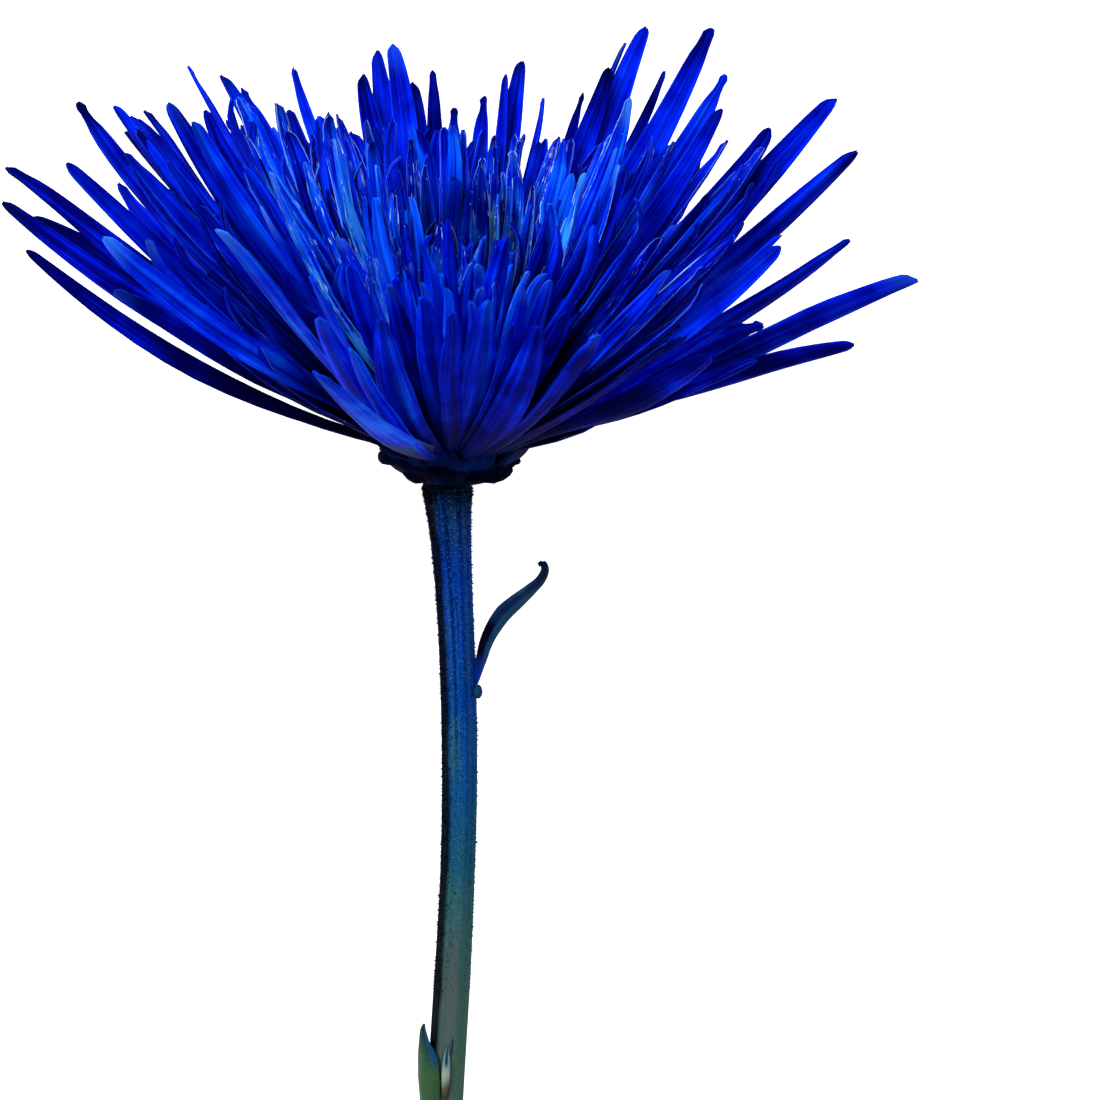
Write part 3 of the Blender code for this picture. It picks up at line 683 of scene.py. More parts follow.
blade = {
    "stations": (0.0, 0.12, 0.25, 0.4, 0.55, 0.68, 0.8, 0.88, 0.94, 0.975, 0.99, 1.0),
    "strap": (0.4, 0.6, 0.8, 0.95, 1.0, 0.99, 0.91, 0.79, 0.64, 0.52, 0.38, 0.1),
    "lance": (0.4, 0.66, 0.87, 0.99, 1.0, 0.9, 0.72, 0.56, 0.42, 0.33, 0.24, 0.08),
    "nubStations": (0.92, 0.955, 0.975, 0.988, 1.0),
    "nub": (1.0, 0.66, 0.62, 1.0, 1.2),
    "thickness": (0.75, 0.62, 0.5),  # at the root, the middle and the tip
    "rootArc": 1.25,
    "rimSides": 20,
    "rimStations": (
        *(0, 0.05, 0.12, 0.2, 0.28, 0.36, 0.44, 0.52, 0.6, 0.68),
        *(0.75, 0.81, 0.86, 0.9, 0.93, 0.955, 0.975, 0.988, 0.996, 1),
    ),
    "rowSides": 8,
    "rowStations": (0, 0.14, 0.29, 0.44, 0.58, 0.71, 0.82, 0.9, 0.955, 0.985, 1),
}


def bladePoints(template, floret, whim):
    # the template's points on a channelled strap whose edges rise on its inner side
    x, y, u = pointsOf(template).T
    root, knee, tip = (np.array(point) for point in (floret.root, floret.knee, floret.tip))
    centre, along = bezier(root, knee, tip, u)
    side = np.array(floret.side)
    side = unit(side - along * (along @ side)[:, None])
    inner = np.cross(along, side)
    roll = floret.roll * np.minimum(1, head["twistRate"] * u) + whim["twist"] * u * u
    side = side * np.cos(roll)[:, None] + inner * np.sin(roll)[:, None]
    inner = np.cross(along, side)

    strap, lance = (np.interp(u, blade["stations"], blade[form]) for form in ("strap", "lance"))
    width = floret.width * (strap + (lance - strap) * whim["lance"])
    width *= 1 + whim["ripple"] * np.sin(2 * math.pi * (whim["waves"] * u + whim["phase"]))
    width *= 1 - whim["nub"] * (1 - np.interp(u, blade["nubStations"], blade["nub"]))
    arcs = (blade["rootArc"], whim["arc"], whim["arc"] * whim["opening"], whim["tipArc"])
    arc = np.interp(u, (0, 0.25, 0.7, 1), arcs)
    turn = arc * x * (1 + whim["fold"] * x)
    radius = width / 2 / np.sin(np.minimum(arc, math.pi / 2))
    thickness = np.interp(u, (0, 0.5, 1), blade["thickness"]) * whim["thickness"]
    groove = whim["groove"] * np.cos(3 * math.pi * x) * np.sin(math.pi * np.minimum(1, u * 1.1))
    off = y * thickness / 2 + groove
    sideways = radius * np.sin(turn) - off * np.sin(turn)
    rise = radius * (1 - np.cos(turn)) + off * np.cos(turn)
    ruffle = np.sin(2 * math.pi * (whim["waves"] * 1.7 * u + whim["phase"])) * u
    rise += whim["ruffle"] * width * x * x * ruffle

    length = np.linalg.norm(tip - root)
    late = np.clip((u - whim["hookFrom"]) / (1 - whim["hookFrom"]), 0, 1) ** 2
    rise += whim["hook"] * late
    wander = np.sin(math.pi * u) * np.sin(2 * math.pi * (u * 0.8 + whim["phase"]))
    sideways += whim["wander"] * length * wander + whim["sideHook"] * late
    last = np.clip((u - 0.93) / 0.07, 0, 1)
    teeth = whim["teeth"] * last * np.cos(whim["toothCount"] * math.pi * x)
    further = teeth - whim["hookBack"] * late
    points = centre + side * sideways[:, None] + inner * rise[:, None]
    return keptUp(points + along * further[:, None])


def drawWhim(draw):
    # what makes this blade unlike the next one
    hooked = draw.random() >= 0.7
    return {
        "lance": draw.uniform(0.0, 0.8),
        "twist": draw.uniform(-0.5, 0.5),
        "ripple": draw.uniform(0.0, 0.07),
        "waves": draw.uniform(1.0, 2.6),
        "phase": draw.random(),
        "arc": draw.uniform(0.55, 1.3),
        "opening": draw.uniform(0.6, 1.05),
        "tipArc": draw.uniform(0.7, 1.45),
        "fold": draw.choice((-1, 1)) * draw.uniform(0.0, 0.35),
        "thickness": draw.uniform(0.85, 1.15),
        "groove": draw.uniform(0.03, 0.09),
        "ruffle": draw.uniform(0.0, 0.05),
        "hookFrom": draw.uniform(0.78, 0.9),
        "hook": draw.uniform(1.6, 3.2) if hooked else draw.uniform(-0.6, 1.6),
        "sideHook": draw.uniform(-0.9, 0.9),
        "hookBack": draw.uniform(0.5, 1.2) if hooked else 0.0,
        "wander": draw.uniform(-0.012, 0.012),
        "teeth": draw.uniform(0.0, 0.3),
        "toothCount": draw.choice((1, 2, 3)),
        "nub": draw.choice((0.0, 0.0, 0.5, 1.0)),
    }


# What is drawn anew, from a range, or fixed for each kind of floret that is listed
tamed = {
    "outline": {"lance": (0, 0.4), "hook": (-0.3, 0.5), "sideHook": (-0.4, 0.4)},
    "front": {
        "lance": (0, 0.5),
        "hook": (-0.3, 0.5),
        "arc": (0.35, 0.8),
        "tipArc": (0.4, 0.9),
        "groove": (0.06, 0.14),
    },
    "crown": {"lance": (0.1, 0.7), "hook": (-0.5, 0.5)},
    "wet": {"hook": (-0.3, 0.6), "ripple": 0.1, "groove": 0.16, "lance": 0.4, "ruffle": 0.06},
}
dyes = {
    "tone": (0.22, 0.9),
    "wetWithin": 36,  # spread within which florets can be very wet
    "wetMost": (0.75, 0.35),  # within it and beyond
    "plainTips": (0.75, 0.4),  # shares of the pale and the dark tips that stay plain
    "stainedShare": 0.1,
    "stainMost": 0.7,
}


def drawTamed(draw, kind):
    # a whim for a listed floret, whose tip isn't drawn back
    whim = drawWhim(draw)
    whim["hookBack"] = 0
    for name, value in tamed[kind].items():
        whim[name] = draw.uniform(*value) if isinstance(value, tuple) else value
    return whim


def drawDye(draw, floret):
    # tone, wetness, tip and stain of one floret
    tone = draw.uniform(*dyes["tone"])
    wet = draw.random() ** 1.5 * dyes["wetMost"][floret.spread >= dyes["wetWithin"]]
    tipShade = draw.uniform(-1.0, 1.0)
    plain = dyes["plainTips"][tipShade <= 0]
    tipShade = math.copysign(max(0.0, abs(tipShade) - plain), tipShade)
    stained = draw.random() < dyes["stainedShare"]
    return tone, wet, tipShade, dyes["stainMost"] * draw.random() if stained else 0.0


drops = {
    "radius": (0.05, 0.12),
    "stretch": (1, 2),
    "most": 30,  # on a floret as wet as can be
    "share": (0.4, 1.0),
    "along": (0.4, 0.98),
    "tint": (0.01, 0.10, 0.75),
    "roughness": 0.12,
    "specular": 0.8,
}


def addDrops(shape, template, points, amount, draw):
    # droplets on the blade's points, none on its back
    across, out, u = pointsOf(template).T
    low, high = drops["along"]
    places = points[(u > low) & (u < high) & (out > -0.5)]
    for _ in range(int(draw.uniform(*drops["share"]) * amount * drops["most"])):
        place = Matrix.Translation(draw.choice(places))
        place @= Matrix.Diagonal((1, 1, draw.uniform(*drops["stretch"]), 1))
        radius = draw.uniform(*drops["radius"])
        bmesh.ops.create_icosphere(shape, subdivisions=1, radius=radius, matrix=place)


def makeHead(material):
    draw = random.Random(head["bladeSeed"])
    beads = bmesh.new()
    rimTemplate = tubeTemplate("rimTemplate", blade["rimSides"], blade["rimStations"])
    rowTemplate = tubeTemplate("rowTemplate", blade["rowSides"], blade["rowStations"])
    rows = {name: bmesh.new() for name in ("rimFlorets", "middleFlorets", "innerFlorets")}

    def lay(name, template, floret, whim, dye):
        points = bladePoints(template, floret, whim)
        addCopy(rows[name], template, points, dye)
        return points

    for floret, own, tone in outlineRow():
        whim = drawTamed(own, "outline")
        lay("rimFlorets", rimTemplate, floret, whim, (tone, 0, own.uniform(-0.9, 0.15), 0))
    for x, y, z, bend, width, roll, tone, stain in frontFlorets:
        own = random.Random(f"{x} {z}")
        whim = drawTamed(own, "front")
        dye = (tone, 0, 0.6 if x < -26 else own.uniform(-0.5, 0.15), stain)
        lay("rimFlorets", rimTemplate, Floret(asSeen(x, y, z), bend, width, roll=roll), whim, dye)
    for floret, dye in crownRow():
        points = lay("innerFlorets", rimTemplate, floret, drawTamed(draw, "crown"), (*dye, 0))
        addDrops(beads, rimTemplate, points, dye[1] * 0.5, draw)
    for x, y, z, width, *dye in wetFlorets:
        own = random.Random(f"{x} {z}")
        floret = Floret(asSeen(x, y, z), 0.11, width, roll=0.8 * x / math.hypot(x, y))
        points = lay("innerFlorets", rimTemplate, floret, drawTamed(own, "wet"), (*dye, 0))
        addDrops(beads, rimTemplate, points, dye[1] * 2, own)
    for floret in [*spiralRow(rule), *spiralRow(filling)]:
        whim = drawWhim(draw)
        name = "middleFlorets" if floret.spread > head["rimFrom"] else "innerFlorets"
        tone, wet, tipShade, stain = drawDye(draw, floret)
        # painted shade: the rows' florets that reach out among the outline get darker
        tone *= np.interp(floret.spread, *head["rimShadeDarkening"])
        points = lay(name, rowTemplate, floret, whim, (tone, wet, tipShade, stain))
        addDrops(beads, rowTemplate, points, wet, draw)
    for name, shape in rows.items():
        finishPiece(shape, name, material, "bloom")
    water = Paint("dropletWater", drops)
    feed(water.shader, {"Base Color": drops["tint"]})
    finishPiece(beads, "waterDroplets", water.material, "bloom")


def makeCore(material):
    shape = bmesh.new()
    bmesh.ops.create_uvsphere(shape, u_segments=48, v_segments=24, radius=1)
    bedRadius, bedHeight = head["coreRadius"] * 0.97, head["coreHalfHeight"] * 0.97
    bmesh.ops.scale(shape, verts=shape.verts, vec=(bedRadius, bedRadius, bedHeight))
    bmesh.ops.translate(shape, verts=shape.verts, vec=(0, 0, head["coreMiddle"]))
    bmesh.ops.rotate(shape, verts=shape.verts, matrix=leanHead)
    finishPiece(shape, "floretBed", material, "bloom")


petalMaterial = makePetalMaterial()
makeHead(petalMaterial)


# Calyx: a cup under the head with rows of plump bracts, some of them drooping

calyx = {
    "profile": ((3.2, -0.5), (3.6, 0.2), (6.2, 1.3), (8.5, 3.4), (8.9, 6.2)),  # radius, height
    "steps": 64,
    "rows": ((6, 3.9, 0.35, 8.2), (8, 5.8, 0.0, 7.2)),  # count, tip height, turn, width
    "foot": 0.3,
    "proud": 0.85,
    "thickness": 1.5,
    # drooping bracts: bearing, root height, tip radius, tip height, width, bulge
    "loose": (
        (183, 4.8, 14.6, 8.0, 5.0, 0.6),
        (205, 4.6, 13.6, 7.0, 5.4, 0.9),
        (224, 4.4, 12.4, 6.4, 5.0, 0.9),
        (200, 4.2, 9.6, 2.6, 6.4, 2.4),
        (232, 3.6, 6.8, 0.8, 6.4, 2.4),
        (262, 3.2, 6.0, 1.6, 5.0, 1.6),
        (318, 4.4, 8.8, 1.9, 8.4, 2.6),
        (352, 4.6, 9.8, 3.6, 6.0, 2.0),
        (70, 3.8, 8.0, 1.2, 6.8, 2.2),
        (125, 3.8, 8.2, 1.4, 6.8, 2.2),
    ),
    "looseRoot": 6.0,
    # the upper row, which follows the florets outwards: count, width, and radius and height of
    # the root, the knee and the tip
    "collar": (11, 6.6, (6.4, 3.2), (9.9, 4.4), (12.0, 8.6)),
    "sides": 12,
    "stations": (0, 0.12, 0.26, 0.4, 0.54, 0.68, 0.8, 0.9, 0.96, 1),
    "seed": 5,
    "roughness": 0.6,
    "specular": 0.003,
    "shades": (
        (0.42, (0.0, 0.0003, 0.003)),
        (0.62, (0.0, 0.002, 0.018)),
        (0.82, (0.0, 0.009, 0.09)),
    ),
}


def makeCalyxMaterial():
    # the dye value is 1 on the blue upper row
    paint = Paint("darkBract", calyx)
    place = paint.place()
    broad, fine, height = paint.fibres(5.0, 1.5, 0.3)
    shade = broad * 0.5 + place.noise(260.0, 3.0) * 0.6 + paint.dye()[0] * 0.16
    relief = height + place.noise(1400.0) * 0.4
    return paint.finish(shade.ramp(calyx["shades"]), relief, 0.7, 0.0004)


def bractPoints(template, out, tipHeight, width, draw):
    # a bract that lies on the cup and stands a little proud of it
    x, y, u = pointsOf(template).T
    radii, heights = zip(*calyx["profile"])
    height = calyx["foot"] + (tipHeight - calyx["foot"]) * u
    radius = np.interp(height, heights, radii) - 0.1 + 0.5 * u
    half = width / 2 * np.sqrt(np.maximum(0.06, 1 - (1.3 * (u - 0.42)) ** 2))
    across = x * half * np.where(u > 0.9, 1 - 3 * (u - 0.9), 1)
    bulge = draw.uniform(0.1, 0.5) * np.sin(math.pi * u) * (1 - x * x)
    proud = y * np.where(y > 0, calyx["proud"], calyx["thickness"]) + bulge
    out, side = np.array(out), np.array(stemAxis.cross(out))
    points = out * (radius - across**2 / (2 * radius) + proud)[:, None] + side * across[:, None]
    points[:, 2] += height
    return points @ np.array(leanHead).T


def loosePoints(template, bearing, width, root, knee, tip, draw):
    # a bract that leaves the cup, along a curve through radii and heights
    x, y, u = pointsOf(template).T
    out = heading(math.radians(bearing))
    bends = [np.array(out * radius + stemAxis * height) for radius, height in (root, knee, tip)]
    centre, along = bezier(*bends, u)
    side = np.array(stemAxis.cross(out))
    normal = np.cross(along, side)
    half = width / 2 * np.sqrt(np.maximum(0.05, 1 - 0.95 * u**5))
    thickness = calyx["thickness"] * (1 - 0.25 * u) * np.where(u > 0.93, 0.6, 1)
    curl = draw.uniform(0.2, 0.7) * x * x
    points = centre + side * (x * half)[:, None] + normal * (y * thickness / 2 - curl)[:, None]
    return points @ np.array(leanHead).T


def makeCalyx(material):
    draw = random.Random(calyx["seed"])
    cup = bmesh.new()
    rim = [cup.verts.new((radius, 0, height)) for radius, height in calyx["profile"]]
    edges = [cup.edges.new(pair) for pair in zip(rim, rim[1:])]
    turn = {"axis": stemAxis, "steps": calyx["steps"], "angle": 2 * math.pi, "use_merge": True}
    bmesh.ops.spin(cup, geom=rim + edges, **turn)
    bmesh.ops.holes_fill(cup, edges=[edge for edge in cup.edges if edge.is_boundary])
    bmesh.ops.recalc_face_normals(cup, faces=cup.faces[:])
    bmesh.ops.rotate(cup, verts=cup.verts, matrix=leanHead)
    finishPiece(cup, "calyxCup", material, "calyx")

    template = tubeTemplate("bractTemplate", calyx["sides"], calyx["stations"])
    shape = bmesh.new()
    for count, tipHeight, turn, width in calyx["rows"]:
        for i in range(count):
            bearing = (i + turn + draw.uniform(-0.12, 0.12)) * 2 * math.pi / count
            height = tipHeight + draw.uniform(-0.5, 0.3)
            wide = width * draw.uniform(0.85, 1.15)
            addCopy(shape, template, bractPoints(template, heading(bearing), height, wide, draw))
    for bearing, rootHeight, tipRadius, tipHeight, width, bulge in calyx["loose"]:
        root, tip = (calyx["looseRoot"], rootHeight), (tipRadius, tipHeight)
        knee = ((root[0] + tip[0]) / 2 + bulge, (root[1] + tip[1]) / 2 + 0.4)
        addCopy(shape, template, loosePoints(template, bearing, width, root, knee, tip, draw))
    count, width, root, knee, tip = calyx["collar"]
    for i in range(count):
        bearing = (i + draw.uniform(-0.15, 0.15)) * 360 / count
        wide = width * draw.uniform(0.9, 1.1)
        points = loosePoints(template, bearing, wide, root, knee, tip, draw)
        addCopy(shape, template, points, (1, 0, 0, 0))
    finishPiece(shape, "calyxBracts", material, "calyx")


# Stem: ribbed and bowed, with painted shade on its left, blue at the top and grey-green lower down

stem = {
    "gap": 0.3,
    "sides": 72,
    "rings": 150,
    "at": (0.0, 5.0, 9.0, 16.0, 24.0, 36.0, 60.0, 77.0, 140.0, 220.0),  # distances below the calyx
    "radii": (3.1, 3.0, 2.75, 2.52, 2.45, 2.45, 2.4, 2.55, 2.7, 3.0),
    "ribs": 6,
    "ribHeight": 0.045,
    "fineRibHeight": 0.012,
    "ribTwist": 0.002,
    "bow": 1.65,
    "bowLength": 165.0,
    "sag": 1.5,
    "cutSlope": 1.2,
    "cutFrom": 0.94,
    # rings on the cut face, from the skin in: thickness, depth, dye value
    "cutRings": ((0.28, 0.0, 0.3), (0.3, 0.02, 0.55), (0.25, -0.12, 1.0), (0.8, -0.08, 0.85)),
    "scars": ((135.0, 40.0), (190.0, 200.0)),  # distance below the calyx, bearing in degrees
    "scarHeight": 0.45,
    "scarReach": 4.0,
    "hairs": 5200,
    "hairLength": (0.12, 0.4),
    "hairRadius": 0.10,
    "collar": 0.35,  # swelling just below the calyx
    "hairEnd": 76.0,  # distance below the calyx where the hairs thin out
    "seed": 11,
}


def stemCentre(below):
    bow = stem["bow"] * np.sin(2 * math.pi * below / stem["bowLength"])
    sag = stem["sag"] * np.sin(math.pi * below / flower["stemLength"])
    return np.stack([bow, sag, -below], axis=-1)


def stemRadius(below, bearing):
    turn = bearing + stem["ribTwist"] * below
    ribs = 1 + stem["ribHeight"] * np.cos(stem["ribs"] * turn)
    ribs += stem["fineRibHeight"] * np.cos(3 * stem["ribs"] * turn + 1)
    scars = 0.0
    for where, towards in stem["scars"]:
        apart = 2 * np.sin((bearing - math.radians(towards)) / 2)
        away = ((below - where) / stem["scarReach"]) ** 2 + apart**2
        scars = scars + stem["scarHeight"] * np.exp(-away)
    swelling = stem["collar"] * np.exp(-(((below - 2.0) / 1.6) ** 2))
    return np.interp(below, stem["at"], stem["radii"]) * ribs + scars + swelling


def stemSurface(below, bearing, above=0.0):
    radius = stemRadius(below, bearing) + above
    points = stemCentre(below)
    points[..., 0] += radius * np.cos(bearing)
    points[..., 1] += radius * np.sin(bearing)
    return points


def makeStem(material):
    template = evenTube("stemTemplate", stem)
    x, y, u = pointsOf(template).T
    bearing = np.arctan2(y, x)
    points = stemSurface(stem["gap"] + u * (flower["stemLength"] - stem["gap"]), bearing)
    slant = np.clip((u - stem["cutFrom"]) / (1 - stem["cutFrom"]), 0, 1)
    points[:, 2] += slant * stem["cutSlope"] * (flower["stemEndRadius"] - points[:, 1])
    points[:, 2] -= np.where(u == 0, points[:, 0] * math.tan(math.radians(flower["headLean"])), 0)
    shape = bmesh.new()
    addCopy(shape, template, keptUp(points))
    uv = shape.loops.layers.uv["strap"]
    dye = shape.verts.layers.float_color["dye"]
    for face in shape.faces:
        middle = face.calc_center_median()
        centre = stemCentre(np.array(-middle.z))
        towards = math.atan2(middle.y - centre[1], middle.x - centre[0])
        for loop in face.loops:
            place = loop.vert.co
            centre = stemCentre(np.array(-place.z))
            turn = math.atan2(place.y - centre[1], place.x - centre[0])
            turn += 2 * math.pi * round((towards - turn) / (2 * math.pi))
            loop[uv].uv = (turn / (2 * math.pi) + 0.5, -place.z / flower["stemLength"])
    caps = [face for face in shape.faces if len(face.verts) > 4]
    cut = [min(caps, key=lambda face: face.calc_center_median().z)]
    for thickness, depth, value in stem["cutRings"]:
        ring = {"thickness": thickness, "depth": depth, "use_even_offset": True}
        bmesh.ops.inset_region(shape, faces=cut, **ring)
        for vert in {vert for face in cut for vert in face.verts}:
            vert[dye] = (value, 0, 0, 0)
    finishPiece(shape, "stemSkin", material, "stem")


def makeStemHairs(material):
    # short stiff hairs, densest under the head
    draw = random.Random(stem["seed"])
    template = tubeTemplate("hairTemplate", 3, (0, 1))
    x, y, u = pointsOf(template).T
    shape = bmesh.new()
    for _ in range(stem["hairs"]):
        below = 1.0 + stem["hairEnd"] * draw.random() ** 1.5
        bearing = draw.uniform(-math.pi, math.pi)
        base = stemSurface(np.array(below), np.array(bearing))
        out = np.array((math.cos(bearing), math.sin(bearing), draw.uniform(-0.5, 0.3)))
        side = np.array((-math.sin(bearing), math.cos(bearing), 0))
        lift = np.cross(out, side)
        length = draw.uniform(*stem["hairLength"])
        thin = stem["hairRadius"] * (1 - 0.85 * u)
        points = base + out * (u * length - 0.05)[:, None]
        points += side * (x * thin)[:, None] + lift * (y * thin)[:, None]
        addCopy(shape, template, points)
    uv = shape.loops.layers.uv["strap"]
    for face in shape.faces:
        place = face.calc_center_median()
        turn = math.atan2(place.y, place.x - stemCentre(np.array(-place.z))[0])
        for loop in face.loops:
            loop[uv].uv = (turn / (2 * math.pi) + 0.5, -place.z / flower["stemLength"])
    finishPiece(shape, "stemHairs", material, "stem")


stemFinish = {
    "roughness": 0.6,
    "specular": 0.008,
    # colours down the stem: share of its length, colour
    "down": (
        (0.0, (0.0, 0.002, 0.02)),
        (0.03, (0.0, 0.016, 0.16)),
        (0.06, (0.0, 0.032, 0.30)),
        (0.17, (0.001, 0.05, 0.26)),
        (0.25, (0.006, 0.075, 0.15)),
        (0.32, (0.036, 0.10, 0.095)),
        (0.4, (0.055, 0.12, 0.09)),
        (0.7, (0.06, 0.14, 0.08)),
        (1.0, (0.09, 0.17, 0.09)),
    ),
    "shade": (0.0, 0.0003, 0.004),
    "olive": (0.03, 0.11, 0.055),
    "mauve": (0.075, 0.075, 0.09),
    "deepBlue": (0.0, 0.006, 0.07),
    # painted glints, small bright specks such as the hairs catch
    "speck": (0.05, 0.20, 0.26),
    "node": (0.11, 0.10, 0.06),
    # a darker streak on the stem beside the bud
    "darkStreak": (0.002, 0.014, 0.016),
    "darkStreakAt": (0.286, 0.385),  # round the stem and down it
    "cortex": (0.12, 0.22, 0.10),
    "pith": (0.62, 0.70, 0.60),
}


def makeStemMaterial():
    # U runs round the stem, with the left side near 0 and 1, and V down it
    finish = stemFinish
    paint = Paint("stemSkin", finish)
    turn, down = readStrap(paint.tree)
    place = paint.place()
    broad, fine, height = paint.fibres(26.0, 5.0, 0.7)
    cloud = place.noise(120.0, 3.0)
    speck = place.noise(4200.0, 1.0)
    reach = down + (cloud - 0.5) * 0.05
    streak = broad.span(0.48, 0.62) * cloud.span(0.3, 0.6) * speck.span(0.3, 0.6, 0.35, 1.0)
    streak = streak * abs(turn - 0.2).span(0.02, 0.07, 1.0, 0.45)
    fromLeft = abs((turn + 0.5).math("FRACT") - 0.5) + (cloud - 0.5) * 0.06
    mauve = abs(turn - 0.23).span(0.03, 0.09, 0.9, 0.0) * reach.span(0.28, 0.34)
    node = abs(down - 0.415).span(0.03, 0.01) * turn.span(0.32, 0.24)
    darkStreakTurn, darkStreakDown = finish["darkStreakAt"]
    darkStreak = abs(turn - darkStreakTurn).span(0.014, 0.004)
    darkStreak = darkStreak * abs(down - darkStreakDown).span(0.003, 0.009, 0.85, 0.0)
    cut = paint.dye()[0]
    colour = reach.ramp(finish["down"]).under(finish, {
        "olive": streak * 0.85,
        "deepBlue": broad.span(0.46, 0.36) * down.span(0.2, 0.3, 0.7, 0.15),
        # painted glints: small bright specks on the upper stem
        "speck": speck.span(0.6, 0.7) * down.span(0.3, 0.4, 0.55, 0.1),
        # painted shade on the stem's left side
        "shade": fromLeft.span(0.19, 0.13) * down.span(0.385, 0.42, 0.97, 0.3),
        "mauve": mauve * broad.span(0.35, 0.65, 0.45, 1.0),
        # brownish around the bud, in front and on the left, with a dark streak beside it
        "node": node * fine.span(0.35, 0.6) * 0.85,
        "darkStreak": darkStreak,
        "cortex": cut.span(0.05, 0.25),
        "pith": cut.span(0.45, 0.9),
    })
    return paint.finish(colour, height + speck * 0.5, 0.6, 0.0003)


# Leaves and bud

upperLeaf = {
    "path": (
        (4.0, 0.1, -30.2),
        (4.9, -0.2, -26.5),
        (5.6, -0.5, -23.9),
        (6.7, -0.8, -21.5),
        (8.2, -1.0, -19.4),
        (10.1, -0.8, -17.7),
        (11.9, -0.4, -16.2),
        (13.3, 0.0, -14.9),
        (14.0, 0.3, -13.4),
        (13.6, 0.5, -12.2),
        (12.9, 0.5, -12.5),
    ),
    "widths": (1.0, 2.0, 2.4, 2.7, 2.8, 2.7, 2.3, 1.7, 1.2, 0.9, 0.6),
    "fold": 0.45,  # how far the left edge turns over near the foot
    "axil": (4.35, -0.3, -31.2),
    "axilSize": (0.65, 0.7, 1.05),
    "thickness": 0.5,
    "across": (1, 0.35, 0),
    "hookAcross": (0.4, 0.3, -1),
    "sides": 14,
    "rings": 40,
}
scaleLeaf = {
    "foot": 98.5,
    "tip": 81.7,
    "bearing": math.radians(200),
    # along the leaf: stations, half the angle it wraps, and its outer and inner faces above the stem
    "stations": (0.0, 0.25, 0.5, 0.72, 0.85, 0.94, 1.0),
    "wraps": (50, 56, 56, 46, 30, 17, 5),
    "outer": (0.25, 1.0, 1.6, 1.85, 1.85, 1.8, 1.6),
    "inner": (0.1, 0.1, 0.1, 0.2, 0.95, 1.25, 1.3),
    "sides": 20,
    "rings": 30,
}
sideBud = {
    "foot": 92.6,
    "tip": 84.4,
    "bearing": math.radians(268),
    "width": 1.2,
    "thickness": 1.1,
    "sides": 16,
    "rings": 18,
    # colours along it, and of the slit between its scales
    "along": (
        (0.0, (0.04, 0.05, 0.03)),
        (0.2, (0.09, 0.09, 0.06)),
        (0.45, (0.30, 0.36, 0.31)),
        (0.7, (0.12, 0.28, 0.32)),
        (1.0, (0.05, 0.17, 0.21)),
    ),
    "heart": (0.004, 0.03, 0.04),
    "roughness": 0.55,
    "specular": 0.08,
}


def curveThrough(points, u):
    # points and directions on a smooth curve through the given ones
    points = np.array(points, float)
    spans = len(points) - 1
    span = np.minimum(spans - 1, (u * spans).astype(int))
    t = (u * spans - span)[:, None]
    before, start = points[np.maximum(0, span - 1)], points[span]
    end, after = points[span + 1], points[np.minimum(spans, span + 2)]
    leave, arrive = (end - before) / 2, (after - start) / 2
    centre = start * (1 + 2 * t) * (1 - t) ** 2 + leave * t * (1 - t) ** 2
    centre += end * t * t * (3 - 2 * t) - arrive * t * t * (1 - t)
    along = (end - start) * 6 * t * (1 - t) + leave * (1 - t) * (1 - 3 * t) + arrive * t * (3 * t - 2)
    return centre, unit(along)


def makeUpperLeaf(material):
    template = evenTube("upperLeafTemplate", upperLeaf)
    x, y, u = pointsOf(template).T
    centre, along = curveThrough(upperLeaf["path"], u)
    last = len(upperLeaf["path"]) - 1
    width = np.interp(u * last, range(last + 1), upperLeaf["widths"])
    bend = np.clip((0.75 - along[:, 2]) / 0.5, 0, 1)[:, None]
    across = np.array(upperLeaf["across"]) * (1 - bend) + np.array(upperLeaf["hookAcross"]) * bend
    side = unit(across - along * (across * along).sum(1)[:, None])
    normal = np.cross(along, side)
    ruffle = 0.25 * x * np.sin(11 * u + 1) * np.sin(math.pi * u) + 0.35 * x * x
    off = y * upperLeaf["thickness"] / 2 * (1 - 0.4 * u) + ruffle
    fold = np.interp(u, (0, 0.12, 0.3, 0.4), (0, 1, 1, 0))
    off -= upperLeaf["fold"] * np.maximum(0, -x - 0.2) * fold
    points = centre + side * (x * width / 2)[:, None] + normal * off[:, None]
    shape = bmesh.new()
    addCopy(shape, template, points, (0.35, 0, 0, 0))
    swelling = Matrix.Translation(upperLeaf["axil"]) @ Matrix.Diagonal((*upperLeaf["axilSize"], 1))
    made = bmesh.ops.create_uvsphere(shape, u_segments=16, v_segments=10, radius=1, matrix=swelling)
    for vert in made["verts"]:
        vert[shape.verts.layers.float_color["dye"]] = (0.35, 0, 0, 0)
        for loop in vert.link_loops:
            loop[shape.loops.layers.uv["strap"]].uv = (0.6, 0.6)
    finishPiece(shape, "upperLeafBlade", material, "upper_leaf")


def makeScaleLeaf(material):
    template = evenTube("scaleLeafTemplate", scaleLeaf)
    x, y, u = pointsOf(template).T
    below = scaleLeaf["foot"] + (scaleLeaf["tip"] - scaleLeaf["foot"]) * u
    outlines = (scaleLeaf[name] for name in ("wraps", "outer", "inner"))
    wrap, outer, inner = (np.interp(u, scaleLeaf["stations"], line) for line in outlines)
    bearing = scaleLeaf["bearing"] + x * np.radians(wrap)
    outer = inner + 0.35 + (outer - inner - 0.35) * np.sqrt(1 - 0.9 * x * x)
    above = (inner + outer) / 2 - y * (outer - inner) / 2
    shape = bmesh.new()
    addCopy(shape, template, stemSurface(below, bearing, above), (0.8, 0, 0, 0))
    finishPiece(shape, "scaleLeafBlade", material, "lower_leaf")


